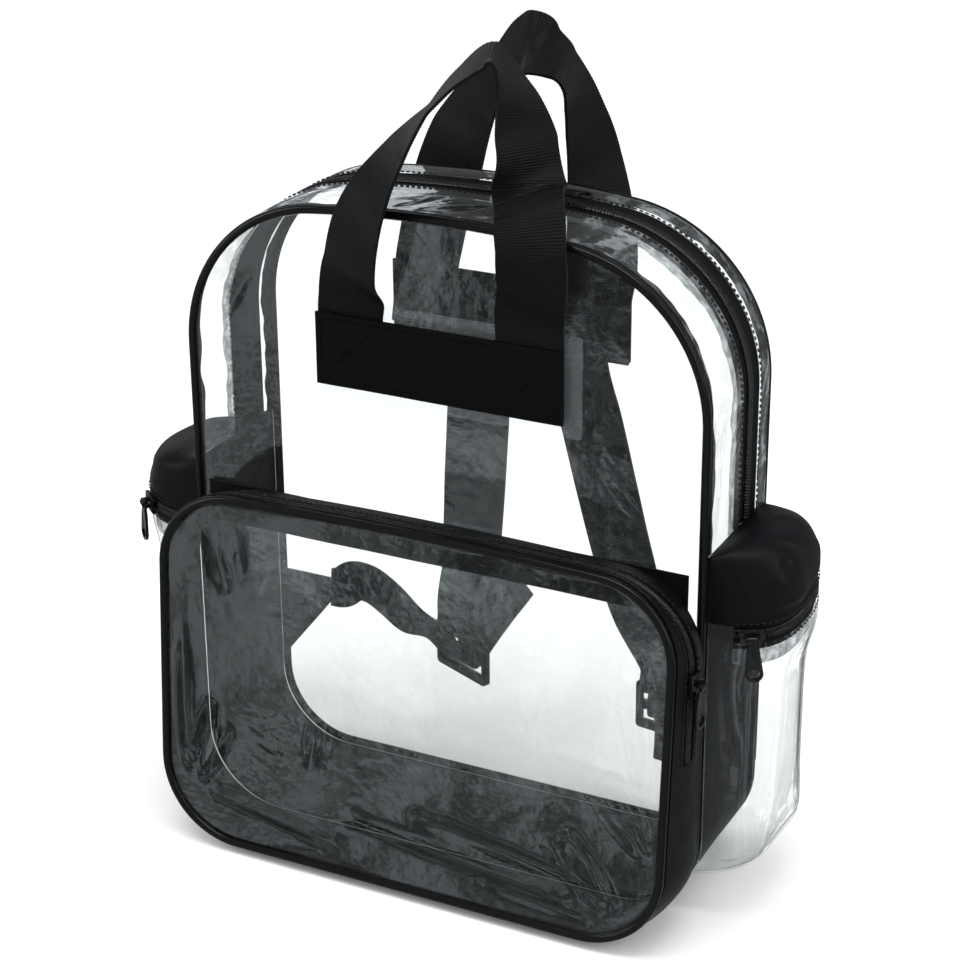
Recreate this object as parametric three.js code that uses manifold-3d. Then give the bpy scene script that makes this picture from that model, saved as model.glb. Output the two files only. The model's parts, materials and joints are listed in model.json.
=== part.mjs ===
// A clear PVC backpack with black trim: a see-through body on a black nylon base,
// a zipped front pocket, two zipped side pockets, two carry handles and two slack
// shoulder straps. Millimetres, +Z up, the bag's front faces -Y, and the origin is
// the middle of the flat bottom on which the bag stands.

import * as THREE from 'three';
import { mergeVertices } from 'three/addons/utils/BufferGeometryUtils.js';
import Module from 'manifold-3d';

// Body
const bodyWidth = 305;
const bodyHeight = 374;
const bodyDepth = 88;
const crownRadius = 700;
const topCornerRadius = 88;
const bottomCornerRadius = 46;
const nylonTop = 213;

// Sheets, piping and the gap that is left where two pieces are sewn together
const clearSheet = 1.0;
const nylonSheet = 1.2;
const pipingDiameter = 4.8;
const seamGap = 0.3;

// Main zip, measured back from the middle of the bag's depth
const mainZipOffset = 13;
const mainZipOpening = 22;
const tapeThickness = 0.8;
const tapeOverlap = 4;
const coilWidth = 5.6;
const coilHeight = 1.7;

// Front pocket: its back edge lies on the body and its front leans back at the top
const pocketWidth = 306;
const pocketBackHeight = 205;
const pocketFrontHeight = 216;
const pocketBottomLift = 4;
const pocketDepthBottom = 53;
const pocketDepthTop = 37;
const pocketSideBulge = 4;
const pocketTopRadius = 46;
const pocketBottomRadius = 48;
const pocketCrownRadius = 2600;
const pocketZipEnd = 112;
const pocketZipPlace = 0.66;
const pocketZipOpening = 11;
const facingHeight = 24;
const facingDrop = 2;
const facingWidth = 286;

// Side pockets
const sidePocketBottom = 24;
const sideZipFront = 172;
const sideZipRear = 184;
const sideZipOpening = 9;
const sidePocketBulgeRight = 41;
const sidePocketBulgeLeft = 50;
const sideSliderAngleRight = 27;
const sideSliderAngleLeft = 46;

// Webbing
const webbingWidth = 38;
const webbingThickness = 1.6;
const narrowWebbingWidth = 25;
const patchWidth = 143;
const patchHeight = 40;
const patchMiddleHeight = 294;
const patchShift = 2;
const backingWidth = 153;
const backingHeight = 55;
const backingShift = 6;
const backingThickness = 0.8;
const rootTuck = 3;
const handleHalfSpan = 54;
const handleLean = 20;
const frontHandleRise = 138;
const rearHandleRise = 131;

// Zip sliders and their pulls
const sliderLength = 13;
const sliderPlate = 1.4;
const sliderFlange = 1.3;
const sliderSink = 0.5;
const postThickness = 1.4;
const postWidth = 2.6;
const postGap = 0.35;
const barRadius = 0.9;
const barHeight = 2.7;
const pullNeckWidth = 5;
const pullEyeRadius = 2.1;
const pullEyeClearance = 0.45;
const pullLength = 24;
const pullWidth = 9.5;
const pullThickness = 1.6;
const pullNeckEnd = 4;
const pullShoulder = 7;
const pullShoulderCut = 1.2;
const pullJoin = 0.25;
const pullHoleRadius = 3;
const mainSliderX = 38;
const pocketSliderPlace = 0.42;

// Ladder locks at the lower ends of the shoulder straps
const lockWidth = 45;
const lockHeight = 30;
const lockThickness = 4;
const lockBar = 4.6;
const lockSide = 3.2;
const foldRise = 4;
const foldTail = 14;
const webbingSlack = 2.2;
const slotTurn = 2.5;
const lockStandOff = 20;
const leftLockX = -42;
const leftLockHeight = 67;
const rightLockX = 92;
const rightLockHeight = 58;
const leftStrapX = -18;
const rightStrapX = 37;

// Cloth tabs that hold the narrow webbing, and how far that webbing bows up beside them
const tabInset = 28.5;
const tabStandOff = 8;
const tabTipHeight = 96;
const tabTipHalf = 8;
const tabRootLow = 52;
const tabRootHigh = 108;
const lowerStrapBow = 10;

const halfWidth = bodyWidth / 2;
const halfDepth = bodyDepth / 2;
const pipingRadius = pipingDiameter / 2;
const pipingMiddle = halfDepth - pipingRadius;
const gussetHalf = pipingMiddle - pipingRadius - seamGap;
const sidePocketHalfDepth = gussetHalf - seamGap;
const panelInset = pipingDiameter + seamGap;
const panelFace = pipingMiddle + clearSheet / 2;

const wasm = await Module();
wasm.setup();

const paint = {
  clear: { color: 0xdfe6e6, roughness: 0.08, metalness: 0, transparent: true, opacity: 0.22 },
  nylon: { color: 0x0c0d0f, roughness: 0.85, metalness: 0 },
  webbing: { color: 0x0b0b0d, roughness: 0.8, metalness: 0 },
  piping: { color: 0x08090a, roughness: 0.3, metalness: 0 },
  zip: { color: 0x0a0b0c, roughness: 0.55, metalness: 0 },
  slider: { color: 0x101114, roughness: 0.32, metalness: 0.35 },
  plastic: { color: 0x0c0c0e, roughness: 0.4, metalness: 0 },
};

const bag = new THREE.Group();

function addMesh(name, geometry, finish, parent = bag) {
  const mesh = new THREE.Mesh(geometry, new THREE.MeshStandardMaterial(paint[finish]));
  mesh.name = name;
  parent.add(mesh);
  return mesh;
}

function radians(degrees) {
  return (degrees * Math.PI) / 180;
}

function mix(a, b, share) {
  return a + (b - a) * share;
}

// An arc in the upright plane as points with outward normals, angles in degrees
function arc(centreX, centreZ, radius, from, to, steps) {
  const points = [];
  for (let i = 0; i <= steps; i += 1) {
    const angle = radians(mix(from, to, i / steps));
    const nx = Math.cos(angle);
    const nz = Math.sin(angle);
    points.push({ x: centreX + radius * nx, z: centreZ + radius * nz, nx, nz });
  }
  return points;
}

// The bag's outline moved inward by an inset, in two runs: the upper one goes from the
// right side over the top to the left, the lower one from the left under to the right
function outlineRuns(shape, inset) {
  const { half, bottom, top, crown, topRadius, bottomRadius, split } = shape;
  const cornerX = half - topRadius;
  const crownZ = top - crown;
  const cornerZ = crownZ + Math.sqrt((crown - topRadius) ** 2 - cornerX ** 2);
  const meet = (Math.atan2(cornerZ - crownZ, cornerX) * 180) / Math.PI;
  const side = (sign) => ({ x: sign * (half - inset), z: split, nx: sign, nz: 0 });
  const lowX = half - bottomRadius;
  const lowZ = bottom + bottomRadius;
  const upper = [
    side(1),
    ...arc(cornerX, cornerZ, topRadius - inset, 0, meet, 10),
    ...arc(0, crownZ, crown - inset, meet, 180 - meet, 6).slice(1),
    ...arc(-cornerX, cornerZ, topRadius - inset, 180 - meet, 180, 10).slice(1),
    side(-1),
  ];
  const lower = [
    side(-1),
    ...arc(-lowX, lowZ, bottomRadius - inset, 180, 270, 8),
    ...arc(lowX, lowZ, bottomRadius - inset, 270, 360, 8),
    side(1),
  ];
  return { upper, lower, whole: [...upper.slice(0, -1), ...lower.slice(0, -1)] };
}

const bodyShape = {
  half: halfWidth, bottom: 0, top: bodyHeight, crown: crownRadius,
  topRadius: topCornerRadius, bottomRadius: bottomCornerRadius, split: nylonTop,
};
const pocketBackShape = {
  half: halfWidth, bottom: 0, top: pocketBackHeight, crown: pocketCrownRadius,
  topRadius: pocketTopRadius, bottomRadius: bottomCornerRadius, split: pocketZipEnd,
};
const pocketFrontShape = {
  half: pocketWidth / 2, bottom: pocketBottomLift, top: pocketFrontHeight, crown: pocketCrownRadius,
  topRadius: pocketTopRadius, bottomRadius: pocketBottomRadius, split: pocketZipEnd,
};

// A closed solid from triangles over a list of points, turned to face outward
function closedGeometry(points, triangles) {
  let volume = 0;
  for (const [a, b, c] of triangles) {
    volume += points[a].dot(new THREE.Vector3().crossVectors(points[b], points[c]));
  }
  const index = triangles.flatMap(([a, b, c]) => (volume > 0 ? [a, b, c] : [a, c, b]));
  const geometry = new THREE.BufferGeometry();
  geometry.setAttribute('position', new THREE.Float32BufferAttribute(points.flatMap((p) => p.toArray()), 3));
  geometry.setIndex(index);
  geometry.computeVertexNormals();
  return geometry;
}

// A wall between an outer and an inner grid of points with the same rows and columns,
// closed along its four edges
function wall(outer, inner) {
  const rows = outer.length;
  const columns = outer[0].length;
  const points = [...outer.flat(), ...inner.flat()];
  const at = (layer, row, column) => layer * rows * columns + row * columns + column;
  const triangles = [];
  const quad = (a, b, c, d) => triangles.push([a, b, c], [a, c, d]);
  const last = columns - 1;
  for (let c = 0; c < last; c += 1) {
    for (let r = 0; r < rows - 1; r += 1) {
      quad(at(0, r, c), at(0, r, c + 1), at(0, r + 1, c + 1), at(0, r + 1, c));
      quad(at(1, r, c), at(1, r + 1, c), at(1, r + 1, c + 1), at(1, r, c + 1));
    }
    quad(at(0, 0, c), at(1, 0, c), at(1, 0, c + 1), at(0, 0, c + 1));
    quad(at(0, rows - 1, c), at(0, rows - 1, c + 1), at(1, rows - 1, c + 1), at(1, rows - 1, c));
  }
  for (let r = 0; r < rows - 1; r += 1) {
    quad(at(0, r, 0), at(0, r + 1, 0), at(1, r + 1, 0), at(1, r, 0));
    quad(at(0, r, last), at(1, r, last), at(1, r + 1, last), at(0, r + 1, last));
  }
  return closedGeometry(points, triangles);
}

// A run of the body's outline as a strip between two depths, from one inset to a deeper one
function bodyStrip(run, insetOuter, insetInner, front, rear, trim = 0) {
  const edge = (inset, y) => outlineRuns(bodyShape, inset)[run].map((point, i, all) => {
    const end = i === 0 || i === all.length - 1;
    const shift = run === 'upper' ? trim : -trim;
    return new THREE.Vector3(point.x, y, point.z + (end ? shift : 0));
  });
  return wall([edge(insetOuter, front), edge(insetOuter, rear)], [edge(insetInner, front), edge(insetInner, rear)]);
}

// Round piping along a closed outline; place turns an outline point into a place in space
function pipingRing(outline, place, facing) {
  const sides = 8;
  const rows = [];
  for (let k = 0; k < sides; k += 1) {
    const angle = radians((360 * (k + 0.5)) / sides);
    rows.push(outline.map((point) => {
      const out = place({ x: point.nx, z: point.nz }, true);
      return place(point)
        .addScaledVector(out, pipingRadius * Math.cos(angle))
        .addScaledVector(facing, pipingRadius * Math.sin(angle));
    }));
  }
  const columns = outline.length;
  const triangles = [];
  for (let k = 0; k < sides; k += 1) {
    for (let c = 0; c < columns; c += 1) {
      const a = k * columns + c;
      const b = k * columns + ((c + 1) % columns);
      const d = ((k + 1) % sides) * columns + c;
      const e = ((k + 1) % sides) * columns + ((c + 1) % columns);
      triangles.push([a, b, e], [a, e, d]);
    }
  }
  return closedGeometry(rows.flat(), triangles);
}

function outlinePlate(outline, thickness) {
  const shape = new THREE.Shape(outline.map((point) => new THREE.Vector2(point.x, point.z)));
  return new THREE.ExtrudeGeometry(shape, { depth: thickness, bevelEnabled: false });
}

// Body panels, their piping, and the clear upper gusset in two strips beside the zip
function buildBody() {
  const panel = outlineRuns(bodyShape, panelInset).whole;
  for (const [side, sign] of [['front', -1], ['rear', 1]]) {
    const plate = addMesh(`${side}_panel`, outlinePlate(panel, clearSheet), 'clear');
    plate.rotation.x = Math.PI / 2;
    plate.position.y = sign * pipingMiddle + clearSheet / 2;
    const place = (point, direction) => new THREE.Vector3(point.x, direction ? 0 : sign * pipingMiddle, point.z);
    const bead = outlineRuns(bodyShape, pipingRadius).whole;
    addMesh(`${side}_piping`, pipingRing(bead, place, new THREE.Vector3(0, sign, 0)), 'piping');
  }
  const zipFront = mainZipOffset - mainZipOpening / 2;
  const zipRear = mainZipOffset + mainZipOpening / 2;
  const tapeInset = clearSheet + seamGap;
  addMesh('upper_gusset_front', bodyStrip('upper', 0, clearSheet, -gussetHalf, zipFront, seamGap), 'clear');
  addMesh('upper_gusset_rear', bodyStrip('upper', 0, clearSheet, zipRear, gussetHalf, seamGap), 'clear');
  addMesh('main_zip_tape', bodyStrip('upper', tapeInset, tapeInset + tapeThickness,
    zipFront - tapeOverlap, zipRear + tapeOverlap, seamGap), 'zip');
  const coilInset = tapeInset - seamGap;
  addMesh('main_zip_coil', bodyStrip('upper', coilInset - coilHeight, coilInset,
    mainZipOffset - coilWidth / 2, mainZipOffset + coilWidth / 2, seamGap), 'zip');
  addMesh('lower_gusset', bodyStrip('lower', 0, nylonSheet, -gussetHalf, gussetHalf), 'nylon');
}

// Front pocket: its outlines share their points one to one, so a share of the depth
// gives a row between the back edge on the body and the front edge in the leaning plane
const pocketBackFace = -halfDepth - seamGap;
const pocketLean = Math.atan2(pocketDepthBottom - pocketDepthTop, pocketFrontHeight - pocketBottomLift);

function onPocketFront(point, direction) {
  const up = new THREE.Vector3(0, Math.sin(pocketLean), Math.cos(pocketLean));
  const place = direction ? new THREE.Vector3() : new THREE.Vector3(0, -halfDepth - pocketDepthBottom, pocketBottomLift);
  return place.add(new THREE.Vector3(point.x, 0, 0)).addScaledVector(up, direction ? point.z : point.z - pocketBottomLift);
}

const pocketFacing = new THREE.Vector3(0, -Math.cos(pocketLean), Math.sin(pocketLean));

function pocketRow(run, inset, share, trim = 0) {
  const back = outlineRuns(pocketBackShape, inset)[run];
  const front = outlineRuns(pocketFrontShape, inset)[run];
  return back.map((point, i) => {
    const end = i === 0 || i === back.length - 1;
    const shift = end ? (run === 'upper' ? trim : -trim) : 0;
    const a = new THREE.Vector3(point.x, pocketBackFace, point.z + shift);
    const b = onPocketFront(front[i]).addScaledVector(pocketFacing, -pipingDiameter - seamGap);
    b.z += shift;
    const swell = pocketSideBulge * Math.sin(Math.PI * share) * point.nx * Math.abs(point.nx);
    return a.lerp(b, share).add(new THREE.Vector3(swell, 0, 0));
  });
}

function pocketStrip(run, insetOuter, insetInner, from, to, trim) {
  const steps = Math.ceil(4 * (to - from));
  const rows = Array.from({ length: steps + 1 }, (unused, i) => mix(from, to, i / steps));
  return wall(rows.map((share) => pocketRow(run, insetOuter, share, trim)),
    rows.map((share) => pocketRow(run, insetInner, share, trim)));
}

function buildFrontPocket() {
  const depth = mix(pocketDepthTop, pocketDepthBottom, 0.5);
  const half = pocketZipOpening / 2 / depth;
  const lap = (pocketZipOpening / 2 + tapeOverlap) / depth;
  const coil = coilWidth / 2 / depth;
  const tapeInset = nylonSheet + seamGap;
  const coilInset = tapeInset - seamGap;
  const place = pocketZipPlace;
  addMesh('pocket_lower_gusset', pocketStrip('lower', 0, nylonSheet, 0, 1, 0), 'nylon');
  addMesh('pocket_upper_gusset_rear', pocketStrip('upper', 0, nylonSheet, 0, place - half, seamGap), 'nylon');
  addMesh('pocket_upper_gusset_front', pocketStrip('upper', 0, nylonSheet, place + half, 1, seamGap), 'nylon');
  addMesh('pocket_zip_tape', pocketStrip('upper', tapeInset, tapeInset + tapeThickness,
    place - lap, Math.min(place + lap, 1), seamGap), 'zip');
  addMesh('pocket_zip_coil', pocketStrip('upper', coilInset - coilHeight, coilInset,
    place - coil, place + coil, seamGap), 'zip');

  const bead = outlineRuns(pocketFrontShape, pipingRadius).whole;
  const beadPlace = (point, direction) => {
    const spot = onPocketFront(point, direction);
    return direction ? spot : spot.addScaledVector(pocketFacing, -pipingRadius);
  };
  addMesh('pocket_piping', pipingRing(bead, beadPlace, pocketFacing), 'piping');

  const sheet = outlinePlate(outlineRuns(pocketFrontShape, panelInset).whole, clearSheet);
  sheet.translate(0, -pocketBottomLift, 0);
  const panel = addMesh('pocket_front_panel', sheet, 'clear');
  panel.rotation.x = Math.PI / 2 - pocketLean;
  panel.position.copy(onPocketFront({ x: 0, z: pocketBottomLift })
    .addScaledVector(pocketFacing, -pipingRadius - clearSheet / 2));

  const facing = new THREE.BoxGeometry(facingWidth, nylonSheet, facingHeight);
  const facingY = -panelFace - seamGap - nylonSheet / 2;
  addMesh('pocket_facing', facing, 'nylon').position.set(0, facingY, pocketBackHeight - facingDrop - facingHeight / 2);
}

// Side pockets. A plan section is a squared half oval from the front seam round to the
// rear seam; heights run from the bottom seam to the zip and from the zip to the top seam.
// share: 0 at the lower line and 1 at the upper line; bulge: share of the pocket's bulge;
// square: how boxy the plan section is, 2 being an oval; seam: the share at the seams,
// where it differs.
const clearRows = [
  { share: 0.00, bulge: 0.00, square: 5.0 },
  { share: 0.03, bulge: 0.45, square: 5.0 },
  { share: 0.08, bulge: 0.74, square: 5.0 },
  { share: 0.12, bulge: 0.78, square: 4.8 },
  { share: 0.17, bulge: 0.80, square: 4.4 },
  { share: 0.45, bulge: 0.82, square: 3.6 },
  { share: 0.75, bulge: 0.86, square: 3.0 },
  { share: 0.92, bulge: 0.99, square: 2.7 },
  { share: 1.00, bulge: 1.00, square: 2.7 },
];
const hoodRowsRight = [
  { share: 0.00, bulge: 1.00, square: 2.7 },
  { share: 0.20, bulge: 1.00, square: 2.7 },
  { share: 0.35, bulge: 1.02, square: 2.7 },
  { share: 0.70, bulge: 0.97, square: 2.7, seam: 0.50 },
  { share: 1.00, bulge: 0.84, square: 2.7, seam: 0.66 },
  { share: 1.20, bulge: 0.62, square: 2.6, seam: 0.78 },
  { share: 1.22, bulge: 0.30, square: 2.6, seam: 0.88 },
  { share: 1.00, bulge: 0.00, square: 2.6 },
];
const hoodRowsLeft = [
  { share: 0.00, bulge: 1.00, square: 2.7 },
  { share: 0.20, bulge: 1.00, square: 2.7 },
  { share: 0.35, bulge: 0.97, square: 2.7 },
  { share: 0.50, bulge: 0.94, square: 2.7 },
  { share: 0.66, bulge: 0.84, square: 2.7 },
  { share: 0.78, bulge: 0.60, square: 2.6 },
  { share: 0.88, bulge: 0.30, square: 2.6 },
  { share: 1.00, bulge: 0.00, square: 2.6 },
];

function bodySideAt(z) {
  const below = Math.max(bottomCornerRadius - z, 0);
  return halfWidth - bottomCornerRadius + Math.sqrt(bottomCornerRadius ** 2 - below ** 2);
}

function sidePocketPoint(sign, bulge, angle, z, row, inset) {
  const power = 2 / row.square;
  const across = Math.cos(angle);
  const out = Math.abs(Math.sin(angle)) ** power;
  const reach = Math.max(bulge * row.bulge - inset, 0);
  const y = -Math.sign(across) * Math.abs(across) ** power * (sidePocketHalfDepth - inset);
  return new THREE.Vector3(sign * (bodySideAt(z) + seamGap + reach * out), y, z);
}

function sideZipHeight(angle) {
  return mix(sideZipFront, sideZipRear, (1 - Math.cos(angle)) / 2);
}

const sidePocketAngles = Array.from({ length: 15 }, (unused, i) => radians((180 * i) / 14));

function buildSidePocket(side, sign, bulge, hoodRows) {
  const half = sideZipOpening / 2;
  const grid = (rows, low, high, inset) => rows.map((row) => sidePocketAngles.map((angle) => {
    const share = mix(row.seam ?? row.share, row.share, Math.sin(angle));
    const z = mix(low(angle), high(angle), share);
    const trim = row.bulge === 0 ? 0 : inset * (row.share < 0.1 ? 1 : row.share > 0.9 && rows === hoodRows ? -1 : 0);
    return sidePocketPoint(sign, bulge, angle, z + trim, row, inset);
  }));
  const bottom = () => sidePocketBottom;
  const top = () => nylonTop - seamGap;
  const below = (angle) => sideZipHeight(angle) - half;
  const above = (angle) => sideZipHeight(angle) + half;
  const sheet = (rows, low, high, thickness) => wall(grid(rows, low, high, 0), grid(rows, low, high, thickness));
  addMesh(`side_pocket_clear_${side}`, sheet(clearRows, bottom, below, clearSheet), 'clear');
  addMesh(`side_pocket_hood_${side}`, sheet(hoodRows, above, top, nylonSheet), 'nylon');

  const band = (outer, inner, lift) => {
    const rows = (inset) => [-lift, lift].map((rise) => sidePocketAngles.slice(1, -1)
      .map((angle) => sidePocketPoint(sign, bulge, angle, sideZipHeight(angle) + rise, clearRows.at(-1), inset)));
    return wall(rows(outer), rows(inner));
  };
  const tapeInset = nylonSheet + seamGap;
  addMesh(`side_zip_tape_${side}`, band(tapeInset, tapeInset + tapeThickness, half + tapeOverlap), 'zip');
  addMesh(`side_zip_coil_${side}`, band(tapeInset - seamGap - coilHeight, tapeInset - seamGap, coilWidth / 2), 'zip');
}

// A flat ribbon of webbing along a smooth path. Each row of the table is a place on its
// middle line; turn swings the width direction from +X towards -Y and tip lowers its end.
function webbing(rows, width, steps) {
  const curve = new THREE.CatmullRomCurve3(rows.map((row) => new THREE.Vector3(row.x, row.y, row.z)), false, 'centripetal');
  const left = [];
  const right = [];
  const leftBack = [];
  const rightBack = [];
  for (let i = 0; i <= steps; i += 1) {
    const t = i / steps;
    const place = curve.getPoint(t);
    const tangent = curve.getTangent(t);
    const k = Math.min(Math.floor(t * (rows.length - 1)), rows.length - 2);
    const share = t * (rows.length - 1) - k;
    const turn = radians(mix(rows[k].turn ?? 0, rows[k + 1].turn ?? 0, share));
    const tip = radians(mix(rows[k].tip ?? 0, rows[k + 1].tip ?? 0, share));
    const across = new THREE.Vector3(Math.cos(turn) * Math.cos(tip), -Math.sin(turn) * Math.cos(tip), -Math.sin(tip));
    across.addScaledVector(tangent, -across.dot(tangent)).normalize();
    const face = new THREE.Vector3().crossVectors(tangent, across).multiplyScalar(webbingThickness / 2);
    const a = place.clone().addScaledVector(across, -width / 2);
    const b = place.clone().addScaledVector(across, width / 2);
    left.push(a.clone().add(face));
    right.push(b.clone().add(face));
    leftBack.push(a.clone().sub(face));
    rightBack.push(b.clone().sub(face));
  }
  return wall([left, right], [leftBack, rightBack]);
}

// Layers sewn on the front panel and on the rear panel, counted outward from the sheet
const frontBackingY = -(panelFace + seamGap + backingThickness / 2);
const frontHandleY = frontBackingY - backingThickness / 2 - seamGap - webbingThickness / 2;
const frontPatchY = frontHandleY - webbingThickness - seamGap;
const rearHandleY = panelFace + seamGap + webbingThickness / 2;
const rearStrapY = rearHandleY + webbingThickness + seamGap;
const rearPatchY = rearStrapY + webbingThickness + seamGap;
const patchLow = patchMiddleHeight - patchHeight / 2;
const patchHigh = patchMiddleHeight + patchHeight / 2;

// The rows of a handle's table are shares of its half span, lean and rise above the patch
function onLoop(y, height, rows) {
  return rows.map((row) => ({
    x: row.across * handleHalfSpan,
    y: y + row.lean * handleLean,
    z: row.z ?? patchHigh + row.rise * height,
    turn: row.turn,
    tip: row.tip,
  }));
}

// Carry handles: the roots stand upright and the loop leans over to the right
const frontHandleRows = onLoop(frontHandleY, frontHandleRise, [
  { across: -0.9259, lean: 0, z: patchLow + rootTuck, turn: 0 },
  { across: -0.9259, lean: 0, z: patchHigh - 3 * rootTuck, turn: 0 },
  { across: -0.9167, lean: 0, z: patchHigh + rootTuck, turn: 0 },
  { across: -0.8889, lean: -0.06, rise: 0.0797, turn: 1 },
  { across: -0.826, lean: -0.426, rise: 0.201, turn: 19, tip: 12 },
  { across: -0.722, lean: -0.547, rise: 0.372, turn: 25, tip: 10 },
  { across: -0.556, lean: -0.416, rise: 0.536, turn: 34, tip: 0 },
  { across: -0.354, lean: 0.001, rise: 0.684, turn: 45, tip: -9 },
  { across: -0.118, lean: 0.439, rise: 0.818, turn: 57, tip: -17 },
  { across: 0.126, lean: 0.895, rise: 0.938, turn: 57, tip: -8 },
  { across: 0.421, lean: 1.242, rise: 1.013, turn: 59, tip: 5 },
  { across: 0.648, lean: 1.188, rise: 0.889, turn: 79, tip: 17 },
  { across: 0.808, lean: 0.895, rise: 0.733, turn: 106, tip: 27 },
  { across: 0.88, lean: 0.653, rise: 0.565, turn: 125, tip: 30 },
  { across: 1.004, lean: -0.063, rise: 0.498, turn: 157, tip: 31 },
  { across: 1.082, lean: -0.415, rise: 0.367, turn: 177, tip: 23 },
  { across: 1.063, lean: -0.26, rise: 0.217, turn: 183, tip: 10 },
  { across: 1, lean: -0.04, rise: 0.0797, turn: 180 },
  { across: 1, lean: 0, z: patchHigh + rootTuck, turn: 180 },
  { across: 1, lean: 0, z: patchHigh - 3 * rootTuck, turn: 180 },
  { across: 1, lean: 0, z: patchLow + rootTuck, turn: 180 },
]);
const rearHandleRows = onLoop(rearHandleY, rearHandleRise, [
  { across: -1, lean: 0, z: patchLow + rootTuck, turn: 0 },
  { across: -0.9444, lean: 0, z: patchHigh - 3 * rootTuck, turn: 0 },
  { across: -0.9444, lean: 0, z: patchHigh - 0.5 * rootTuck, turn: 0 },
  { across: -0.904, lean: 0.144, rise: 0.123, turn: -3, tip: 1 },
  { across: -0.844, lean: 0.337, rise: 0.277, turn: -4, tip: 2 },
  { across: -0.76, lean: 0.544, rise: 0.43, turn: -1, tip: 4 },
  { across: -0.646, lean: 0.691, rise: 0.58, turn: 12, tip: 5 },
  { across: -0.494, lean: 0.973, rise: 0.715, turn: 33, tip: 8 },
  { across: -0.265, lean: 1.093, rise: 0.835, turn: 49, tip: 16 },
  { across: -0.025, lean: 0.842, rise: 0.938, turn: 53, tip: 26 },
  { across: 0.231, lean: 0.329, rise: 0.966, turn: 57, tip: 32 },
  { across: 0.506, lean: 0.455, rise: 0.915, turn: 66, tip: 25 },
  { across: 0.616, lean: 0.727, rise: 0.789, turn: 85, tip: 16 },
  { across: 0.693, lean: 0.891, rise: 0.644, turn: 101, tip: 7 },
  { across: 0.75, lean: 1.041, rise: 0.495, turn: 114, tip: -2 },
  { across: 0.829, lean: 0.925, rise: 0.348, turn: 128, tip: -5 },
  { across: 0.905, lean: 0.632, rise: 0.209, turn: 148, tip: -5 },
  { across: 0.969, lean: 0.261, rise: 0.079, turn: 168, tip: -2 },
  { across: 0.9815, lean: 0, z: patchHigh - 0.5 * rootTuck, turn: 180 },
  { across: 0.9815, lean: 0, z: patchHigh - 3 * rootTuck, turn: 180 },
  { across: 0.9815, lean: 0, z: patchLow + rootTuck, turn: 180 },
]);

// Shoulder straps hang slack behind the rear panel, each down to its ladder lock
const leftLock = { x: leftLockX, y: rearStrapY + lockStandOff, z: leftLockHeight, turn: 24 };
const rightLock = { x: rightLockX, y: rearStrapY + lockStandOff, z: rightLockHeight, turn: 8 };
const toLock = (lock, root, rows) => rows.map((row) => ({
  x: mix(root, lock.x, row.toward),
  y: rearStrapY + row.out * lockStandOff,
  z: row.z ?? mix(patchLow, lock.z, row.drop),
  turn: row.turn,
}));
const leftStrapRows = toLock(leftLock, leftStrapX, [
  { toward: 0, out: 0, z: patchHigh - rootTuck },
  { toward: 0, out: 0, drop: 0.0097 },
  { toward: 0.1667, out: 0.15, drop: 0.2126 },
  { toward: 0.375, out: 0.4, drop: 0.4251 },
  { toward: 0.5417, out: 0.6, drop: 0.5894, turn: 4 },
  { toward: 0.7083, out: 0.75, drop: 0.7198, turn: 12 },
]);
const rightStrapRows = toLock(rightLock, rightStrapX, [
  { toward: 0, out: 0, z: patchHigh - rootTuck },
  { toward: 0.0364, out: 0, drop: 0.0093 },
  { toward: 0.1818, out: 0.15, drop: 0.1667 },
  { toward: 0.3273, out: 0.35, drop: 0.3519 },
  { toward: 0.4909, out: 0.6, drop: 0.5556, turn: 2 },
  { toward: 0.6727, out: 0.75, drop: 0.7222, turn: 6 },
]);

// A ladder lock is a flat frame with two slots. The strap's end folds over its top bar and
// the narrow webbing passes through its lower slot, so both paths are worked out from it.
const slotHeight = (lockHeight - 3 * lockBar) / 2;
const foldOut = lockThickness / 2 + seamGap + webbingThickness / 2;

// A place given across, behind and above a lock's middle, in the lock's turned frame
function atLock(lock, across, behind, above, more = {}) {
  const angle = radians(lock.turn);
  return {
    x: lock.x + across * Math.cos(angle) + behind * Math.sin(angle),
    y: lock.y - across * Math.sin(angle) + behind * Math.cos(angle),
    z: lock.z + above,
    turn: lock.turn,
    ...more,
  };
}

function strapFold(lock) {
  const bar = lockHeight / 2 - lockBar / 2;
  const under = bar - lockBar / 2 - seamGap - webbingThickness / 2;
  const round = webbingThickness / 2;
  return [
    atLock(lock, 0, -foldOut, bar + foldTail),
    atLock(lock, 0, -foldOut, bar + foldRise),
    atLock(lock, 0, -foldOut, under + round),
    atLock(lock, 0, -foldOut + round, under),
    atLock(lock, 0, foldOut - round, under),
    atLock(lock, 0, foldOut, under + round),
    atLock(lock, 0, foldOut, bar + foldRise),
    atLock(lock, 0, foldOut, bar + foldTail),
  ];
}

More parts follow.
